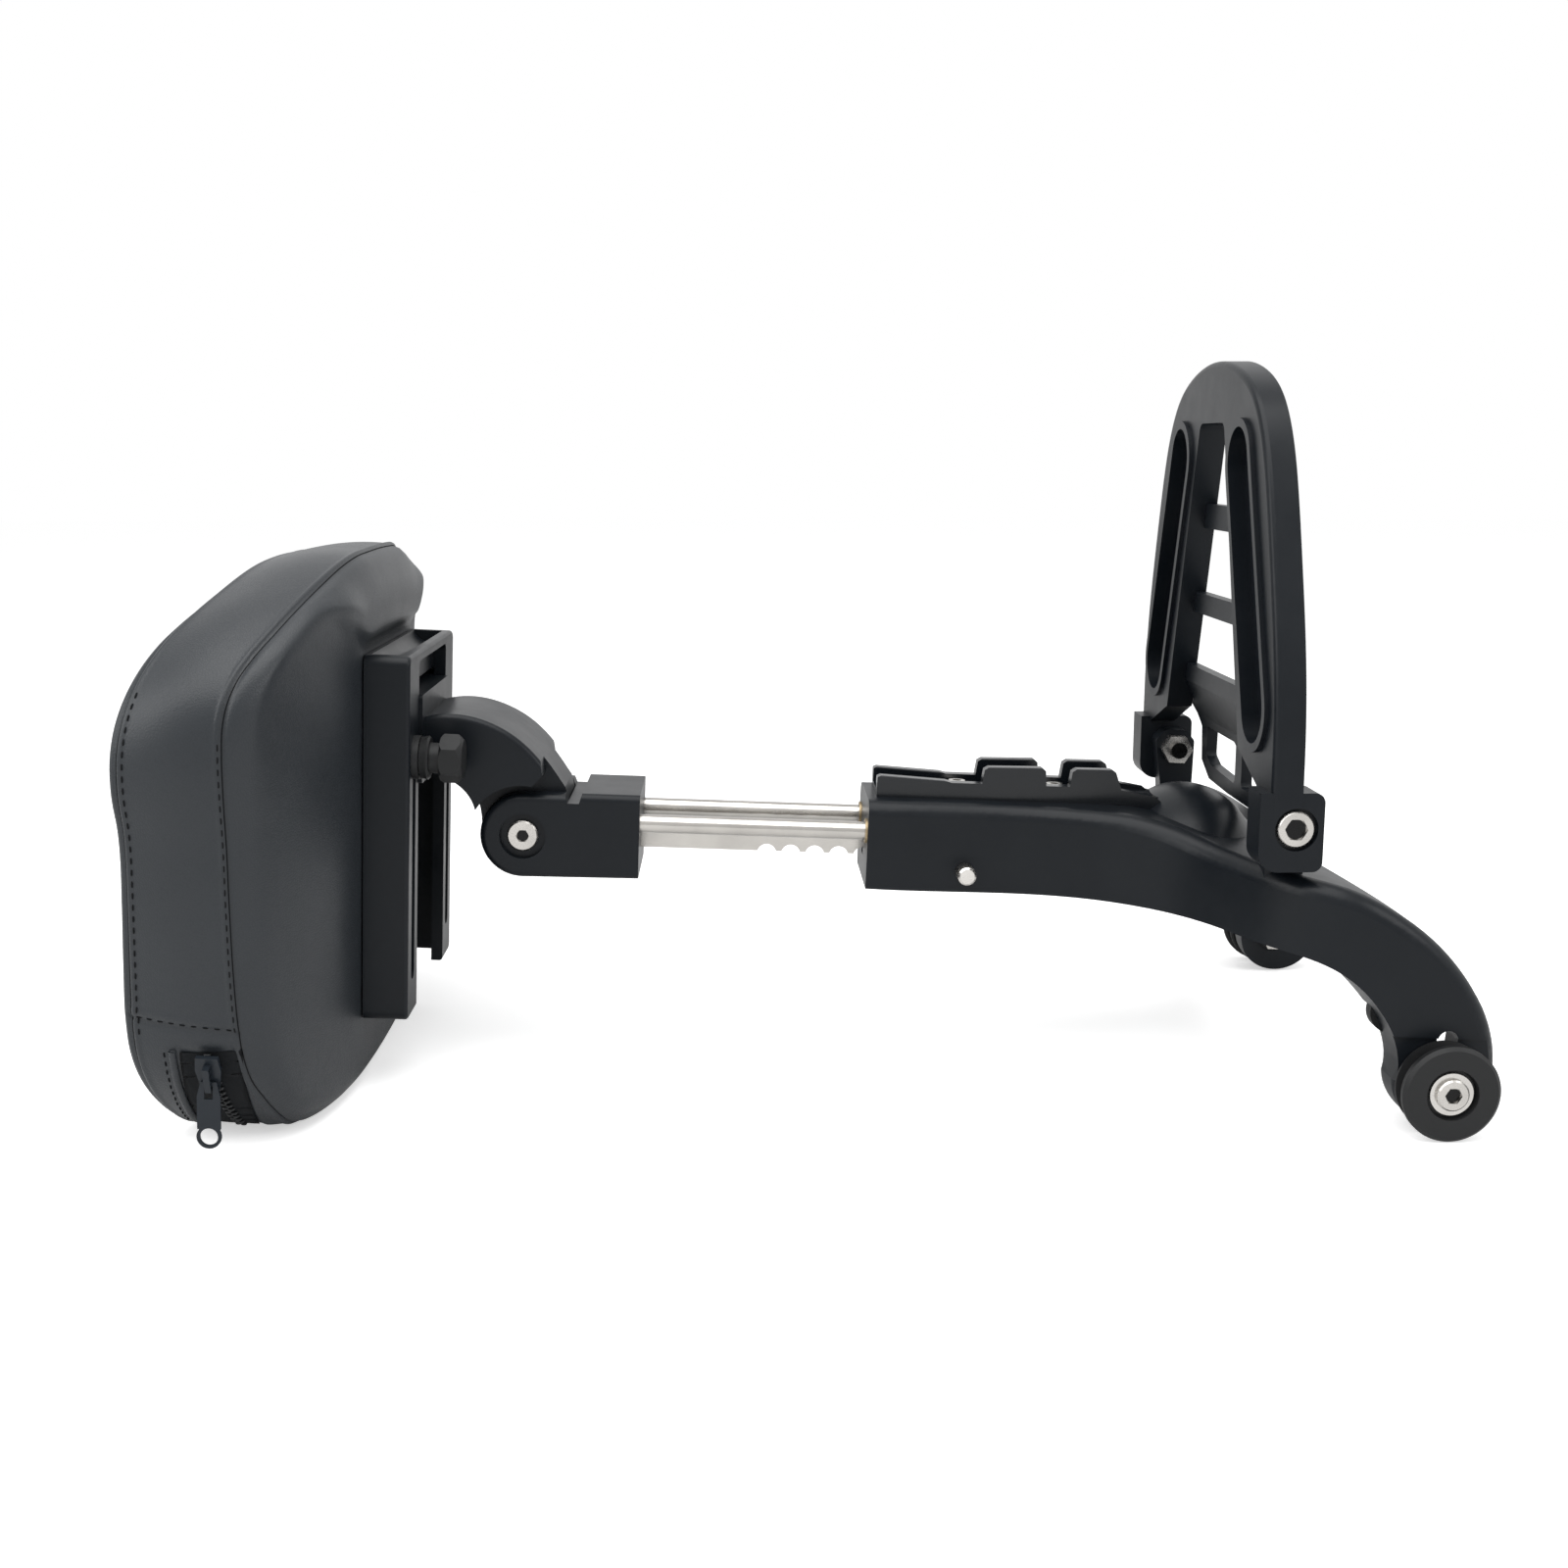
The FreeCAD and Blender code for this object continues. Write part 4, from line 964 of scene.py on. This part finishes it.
    def column_at_height(self, row: float, z: float, side: int) -> float:
        """Column where a ring passes a height on one side of the pad.

        Args:
            row: place of the ring in the fine grid.
            z: height in mm in the arm's frame.
            side: 1 for +Y, -1 for -Y.

        Returns:
            The column, as a fractional place.
        """
        low, share = int(row), row - int(row)
        ring = self.rings[low] * (1 - share) + self.rings[min(low + 1, len(self.rings) - 1)] * share
        half = self.round_steps // 2
        columns = np.arange(half) if side > 0 else np.arange(half, self.round_steps)
        heights = ring[columns, 2]
        order = np.argsort(heights)
        wanted = (np.abs(ring[columns, 1]) > 90)[order]
        return float(np.interp(z, heights[order][wanted], columns[order][wanted].astype(float)))

    def build(self, cover: bpy.types.Material, quick: bool) -> Any:
        """Make the cover.

        Args:
            cover: its vinyl.
            quick: whether to leave the stuffing out.

        Returns:
            The object.
        """
        shell = self.shell()
        if not quick:
            shell = self.stuff(shell)
        fine = self.settle_on_floor(self.sew(self.refine(shell)))
        self.rings = fine
        self.cover = cover
        self.points = arm_to_world(fine)
        self.normals = self.grid_normals(self.points)
        flat = self.points.reshape(-1, 3)
        piece = make_piece("pad_cover", flat, outward(flat, self.faces(len(fine))), cover)
        return settle(piece, "pad", Slot.VINYL, "pad_cushion", "back_panel")

    def stitch(
        self, name: str, rows: Array, columns: Array, thread: bpy.types.Material, pitch: float = 4.4,
    ) -> Any:
        """Sew a row of stitches along a path of grid places.

        Args:
            name: name of the piece.
            rows, columns: the path, in grid places.
            thread: material of the thread.
            pitch: distance between stitches in mm.

        Returns:
            The object with all the stitches of the row.
        """
        line, _ = self.at(rows, columns)
        arc = np.concatenate([[0], np.cumsum(np.linalg.norm(np.diff(line, axis=0), axis=1))])
        count = max(2, int(arc[-1] / (pitch * MM)))
        middle = (np.arange(count) + 0.5) / count * arc[-1]
        place, up = self.at(np.interp(middle, arc, rows), np.interp(middle, arc, columns))
        ahead, _ = self.at(np.interp(middle + MM, arc, rows), np.interp(middle + MM, arc, columns))
        behind, _ = self.at(np.interp(middle - MM, arc, rows), np.interp(middle - MM, arc, columns))
        along = unit(ahead - behind)
        up = unit(up - along * (up * along).sum(axis=1, keepdims=True))
        points, faces = capsules(place, along, up, pitch * 0.68 * MM, 0.62 * MM, 0.35 * MM)
        return settle(make_piece(name, points, faces, thread), "pad", Slot.VINYL)

    def groove_shade_cord(self, name: str, row: float, thick: float, material: bpy.types.Material) -> Any:
        """Dark closed cord at the bottom of the groove of a seam, all round the pad: painted shade, a dark
        piece that stands in for the shade in the groove.

        Args:
            name: name of the piece.
            row: ring of the fine grid that the seam lies on.
            thick: diameter of the cord in mm.
            material: its finish.

        Returns:
            The object.
        """
        steps = self.points.shape[1]
        line, up = self.at(np.full(steps, float(row)), np.arange(steps, dtype=float))
        along = unit(np.roll(line, -1, axis=0) - np.roll(line, 1, axis=0))
        side = unit(np.cross(up, along))
        turn = np.arange(6) * np.pi / 3
        ring = side[:, None] * np.cos(turn)[None, :, None] + up[:, None] * np.sin(turn)[None, :, None]
        points = (line[:, None] + ring * thick / 2 * MM).reshape(-1, 3)
        ahead = (np.arange(steps) + 1) % steps
        faces = [[a * 6 + k, b * 6 + k, b * 6 + (k + 1) % 6, a * 6 + (k + 1) % 6]
                 for a, b in enumerate(ahead.tolist()) for k in range(6)]
        return settle(make_piece(name, points, outward(points, faces), material), "pad", Slot.VINYL)

    def stitches(self, thread: bpy.types.Material) -> None:
        """Dark cords of painted shade in the grooves of the two seams, and the stitches beside the seams and
        across the sides.

        Args:
            thread: material of the cords and the stitches.
        """
        # painted shade: dark cords in the seams' grooves stand in for their shade
        self.groove_shade_cord("back_seam_groove_shade", 2 * self.seam_ring, 0.75, thread)
        self.groove_shade_cord("front_seam_groove_shade", 2 * self.lip_ring, 0.7, thread)
        for side, label in ((-1, "near"), (1, "far")):
            rows = np.full(60, 2 * self.seam_ring + 1.4)
            heights = np.linspace(-57.0, 56.0, 60)
            columns = np.array([self.column_at_height(row, z, side) for row, z in zip(rows, heights)])
            self.stitch(f"back_seam_stitches_{label}", rows, columns, thread)
            rows = np.full(60, 2 * self.lip_ring - 3.4)
            heights = np.linspace(-60.0, 72.0, 60)
            columns = np.array([self.column_at_height(row, z, side) for row, z in zip(rows, heights)])
            self.stitch(f"front_seam_stitches_{label}", rows, columns, thread)
            rows = np.linspace(2 * self.seam_ring + 1.5, 2 * self.lip_ring - 1.5, 40)
            share = 1 - (rows - 2 * self.seam_ring) / (2 * self.band_rings)
            heights = -51.6 - 3.6 * share
            columns = np.array([self.column_at_height(row, z, side) for row, z in zip(rows, heights)])
            self.stitch(f"side_seam_stitches_{label}", rows, columns, thread, 4.0)


@dataclass
class CoverZip:
    """Zip at the foot of the near side: tape in the opening and a coil of teeth. Sizes in mm."""

    pad: Pad
    x: float = -253.5
    top: float = -64.5
    bottom: float = -103.0
    pitch: float = 1.5

    def path(self, stations: Array, heights: Array) -> tuple[Array, Array]:
        """Grid places down the near side.

        Args:
            stations: x of each place in mm.
            heights: height of each place in mm.

        Returns:
            Rows and columns of the fine grid.
        """
        band = np.arange(2 * self.pad.seam_ring + 1, 2 * self.pad.lip_ring, dtype=float)
        rows, columns = np.empty(len(heights)), np.empty(len(heights))
        for k, (x, z) in enumerate(zip(stations, heights)):
            places = [self.pad.column_at_height(row, z, -1) for row in band]
            across = [self.pad.rings[int(row), int(round(place)), 0] for row, place in zip(band, places)]
            rows[k] = np.interp(-x, -np.array(across), band)
            columns[k] = self.pad.column_at_height(rows[k], z, -1)
        return rows, columns

    def build(self, coil: bpy.types.Material, tape: bpy.types.Material, thread: bpy.types.Material) -> None:
        """Make the two rows of teeth, which mesh, the tape under them and the fold beside it.

        Args:
            coil: finish of the teeth.
            tape: finish of the tape.
            thread: finish of the stitches.
        """
        heights = np.linspace(self.top, self.bottom, 60)
        down = (self.top - heights) / (self.top - self.bottom)
        line, up = self.pad.at(*self.path(self.x + 4.5 * down**1.5, heights))
        arc = np.concatenate([[0], np.cumsum(np.linalg.norm(np.diff(line, axis=0), axis=1))])
        count = int(arc[-1] / (self.pitch * MM))
        middle = (np.arange(count) + 0.5) / count * arc[-1]
        place = np.stack([np.interp(middle, arc, line[:, k]) for k in range(3)], axis=1)
        normal = unit(np.stack([np.interp(middle, arc, up[:, k]) for k in range(3)], axis=1))
        along = unit(np.gradient(place, axis=0))
        normal = unit(normal - along * (normal * along).sum(axis=1, keepdims=True))
        side = np.cross(normal, along)
        offset = np.where(np.arange(count) % 2, 1.0, -1.0)[:, None] * side * 0.85 * MM
        points, faces = capsules(
            place + offset + normal * 0.75 * MM, side, normal, 3.0 * MM, 1.15 * MM, 0.3 * MM)
        piece = make_piece("zip_teeth", points, faces, coil)
        settle(piece, "pad", Slot.ZIP_TAPE, "zip_chain")
        middle_line, rise = self.pad.at(*self.path(self.x + 0.4 - 0.6 * down, heights))
        strip = self.strip(middle_line, rise, 11.6, 0.4)
        settle(make_piece("zip_tape", *strip, tape), "pad", Slot.ZIP_TAPE)
        fold_line, rise = self.pad.at(*self.path(-267.4 + 0.6 * down, heights))
        fold = self.strip(fold_line, rise, 1.5, 1.7)
        settle(make_piece("zip_fold", *fold, self.pad.cover), "pad", Slot.VINYL)
        self.pad.stitch("zip_stitches", *self.path(-270.6 + 0.6 * down, heights), thread, 4.0)

    def strip(self, line: Array, up: Array, half: float, rise: float) -> tuple[Array, list]:
        """Closed flat band along a line: its section is a thin lens.

        Args:
            line: middle line in metres.
            up: normals of the surface.
            half: half width in mm.
            rise: thickness in mm.

        Returns:
            Points and faces.
        """
        along = unit(np.gradient(line, axis=0))
        side = unit(np.cross(up, along))
        steps = 10
        angle = np.arange(steps) * 2 * np.pi / steps
        ring = (
            side[:, None] * (np.cos(angle) * half * MM)[None, :, None]
            + up[:, None] * ((np.sin(angle) * 0.5 + 0.3) * rise * MM)[None, :, None]
        )
        points = (line[:, None] + ring).reshape(-1, 3)
        faces = grid_quads(len(line), steps, True).tolist()
        faces += [list(range(steps)), [(len(line) - 1) * steps + k for k in reversed(range(steps))]]
        return points, outward(points - points.mean(axis=0), faces)


@dataclass
class Frame:
    """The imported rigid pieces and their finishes."""

    nodes: dict[str, Any]

    def dress(self, finishes: dict[Slot, bpy.types.Material], record: dict[str, Any]) -> None:
        """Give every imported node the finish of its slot.

        Args:
            finishes: a material for every slot.
            record: the part's record, which names each node's slot.
        """
        slots = {part["node"]: Slot(part["material_slot"]) for part in record["subparts"]}
        for name, piece in self.nodes.items():
            piece.data.materials.clear()
            piece.data.materials.append(finishes[slots[name]])
        log.info("dressed %d packed nodes", len(self.nodes))

    def finish_one(self, name: str, material: bpy.types.Material) -> None:
        """Give one node a finish of its own."""
        self.nodes[name].data.materials.clear()
        self.nodes[name].data.materials.append(material)


@dataclass(frozen=True)
class Lamp:
    """Square soft lamp that looks at a point. Places and size in metres, power in watts."""

    name: str
    place: tuple[float, float, float]
    target: tuple[float, float, float]
    size: float
    power: float

    def hang(self) -> None:
        """Put the lamp in the scene."""
        data = bpy.data.lights.new(self.name, "AREA")
        data.shape = "SQUARE"
        data.size = self.size
        data.energy = self.power
        lamp = bpy.data.objects.new(self.name, data)
        lamp.location = self.place
        towards = Vector(self.target) - Vector(self.place)
        lamp.rotation_euler = towards.to_track_quat("-Z", "Y").to_euler()
        bpy.context.scene.collection.objects.link(lamp)


@dataclass(frozen=True)
class Studio:
    """White sweep, soft light and the camera."""

    camera_mm: tuple[float, float, float] = (-38.3, -776.0, 267.6)
    pitch: float = math.radians(10.75)
    yaw: float = math.radians(-1.65)
    lens: float = 40.5
    sensor: float = 36.0
    room_light: float = 0.55      # strength of the white room on matt surfaces
    floor_glow: float = 0.52      # what the floor adds for the camera
    floor_half: float = 6.0
    floor_drop: float = 0.0004    # keeps the floor just under the feet
    lamps: tuple[Lamp, ...] = (
        Lamp("lamp_over", (-0.15, -0.35, 1.25), (0.0, 0.0, 0.10), 1.3, 17.0),
        Lamp("lamp_left", (-1.2, -0.55, 0.75), (-0.15, 0.0, 0.12), 0.8, 7.0),
        Lamp("lamp_right", (1.1, -0.7, 0.8), (0.1, 0.0, 0.12), 0.7, 5.0),
    )

    def build(self) -> None:
        """Make the whole studio."""
        self.world()
        self.floor()
        for lamp in self.lamps:
            lamp.hang()
        self.camera()
        bpy.context.scene.view_settings.view_transform = "Standard"

    def world(self) -> None:
        """White surroundings, at full strength for camera, mirror and glass rays."""
        world = bpy.data.worlds.new("white_room")
        bpy.context.scene.world = world
        sheet = ShaderSheet("white_room", world)
        light = sheet.add("ShaderNodeBackground", {}, {"Color": WHITE, "Strength": self.room_light})
        seen = sheet.add("ShaderNodeBackground", {}, {"Color": WHITE, "Strength": 1.0})
        direct = sheet.add("ShaderNodeLightPath", output="Is Camera Ray")
        for ray in ("Is Glossy Ray", "Is Transmission Ray"):
            direct = direct.maximum(sheet.add("ShaderNodeLightPath", output=ray))
        mix = sheet.add("ShaderNodeMixShader", {}, {0: direct, 1: light, 2: seen})
        sheet.add("ShaderNodeOutputWorld", {}, {"Surface": mix})

    def floor(self) -> None:
        """Pale floor that keeps the shadow of the object."""
        sheet = ShaderSheet("white_floor")
        matt = sheet.add("ShaderNodeBsdfDiffuse", {}, {"Color": (0.86, 0.86, 0.86, 1)})
        glow = sheet.add("ShaderNodeEmission", {}, {"Color": WHITE, "Strength": self.floor_glow})
        rays = sheet.add("ShaderNodeLightPath", output="Is Camera Ray")
        both = sheet.add("ShaderNodeAddShader", {}, {0: matt, 1: glow})
        seen = sheet.add("ShaderNodeMixShader", {}, {0: rays, 1: matt, 2: both})
        sheet.add("ShaderNodeOutputMaterial", {}, {"Surface": seen})
        signs = ((-1, -1), (1, -1), (1, 1), (-1, 1))
        half = self.floor_half
        reach = np.array([[x * half, y * half, -self.floor_drop] for x, y in signs], float)
        make_piece("floor", reach, [[0, 1, 2, 3]], sheet.material, False)

    def camera(self) -> None:
        """Camera at the photograph's angle."""
        level = math.cos(self.pitch)
        ahead = Vector((-math.sin(self.yaw) * level, math.cos(self.yaw) * level, -math.sin(self.pitch)))
        right = Vector((math.cos(self.yaw), math.sin(self.yaw), 0.0))
        up = right.cross(ahead)
        data = bpy.data.cameras.new("camera")
        data.lens = self.lens
        data.sensor_width = self.sensor
        data.clip_start, data.clip_end = 0.02, 50.0
        camera = bpy.data.objects.new("camera", data)
        turn = Matrix((right, up, -ahead)).transposed().to_4x4()
        camera.matrix_world = Matrix.Translation(Vector(self.camera_mm) * MM) @ turn
        bpy.context.scene.collection.objects.link(camera)
        bpy.context.scene.camera = camera


def finishes() -> dict[Slot, bpy.types.Material]:
    """One material for every slot of the record."""
    return {
        Slot.CASTING: PowderCoat("satin_black_coat", 0.0055, 0.34, sheen=0.2).material(),
        Slot.BRACKET: PowderCoat("semi_gloss_black_coat", 0.005, 0.22, 1.4, 0.000008, 0.4).material(),
        Slot.POLYMER: Polymer("black_polymer", 0.007, 0.48).material(),
        Slot.STAINLESS: Steel("turned_stainless", (0.66, 0.64, 0.61, 1), 0.24, (900, 900, 900)).material(),
        Slot.BRONZE: Steel("sintered_bronze", (0.46, 0.36, 0.22, 1), 0.38, (1800, 1800, 1800)).material(),
        Slot.VINYL: Vinyl("black_vinyl", 0.016, 0.42).material(),
        Slot.ZIP_TAPE: Weave("zip_tape_weave", 0.004).material(),
        Slot.ZIP_METAL: PowderCoat("zip_enamel", 0.012, 0.30).material(),
    }


def main() -> None:
    """Build the studio, the finishes, the pad and the zip in order."""
    logging.basicConfig(level=logging.INFO, format="%(name)s %(message)s")
    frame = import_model()
    Studio().build()
    coats = finishes()
    rig = Frame(frame["nodes"])
    rig.dress(coats, frame["record"])
    ground = Steel("ground_rods", (0.52, 0.50, 0.47, 1), 0.2, (14, 1600, 1600)).material()
    for name in ("guide_rod_left", "guide_rod_right", "lock_bar"):
        rig.finish_one(name, ground)
    # screw heads get a painted shade disc in their socket recesses
    for name, radius in SOCKET_SHADE_RADII.items():
        low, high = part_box(name)
        axis = ((low[0] + high[0]) / 2, (low[2] + high[2]) / 2)
        turned = Steel(f"{name}_steel", (0.6, 0.58, 0.55, 1), 0.26, (900, 900, 900), axis, radius)
        rig.finish_one(name, turned.material())
    pad = Pad()
    pad.build(coats[Slot.VINYL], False)
    thread = Weave("black_thread", 0.002, 0.4).material()
    pad.stitches(thread)
    CoverZip(pad).build(Polymer("zip_coil", 0.014, 0.35).material(), coats[Slot.ZIP_TAPE], thread)


if __name__ == "__main__":
    main()
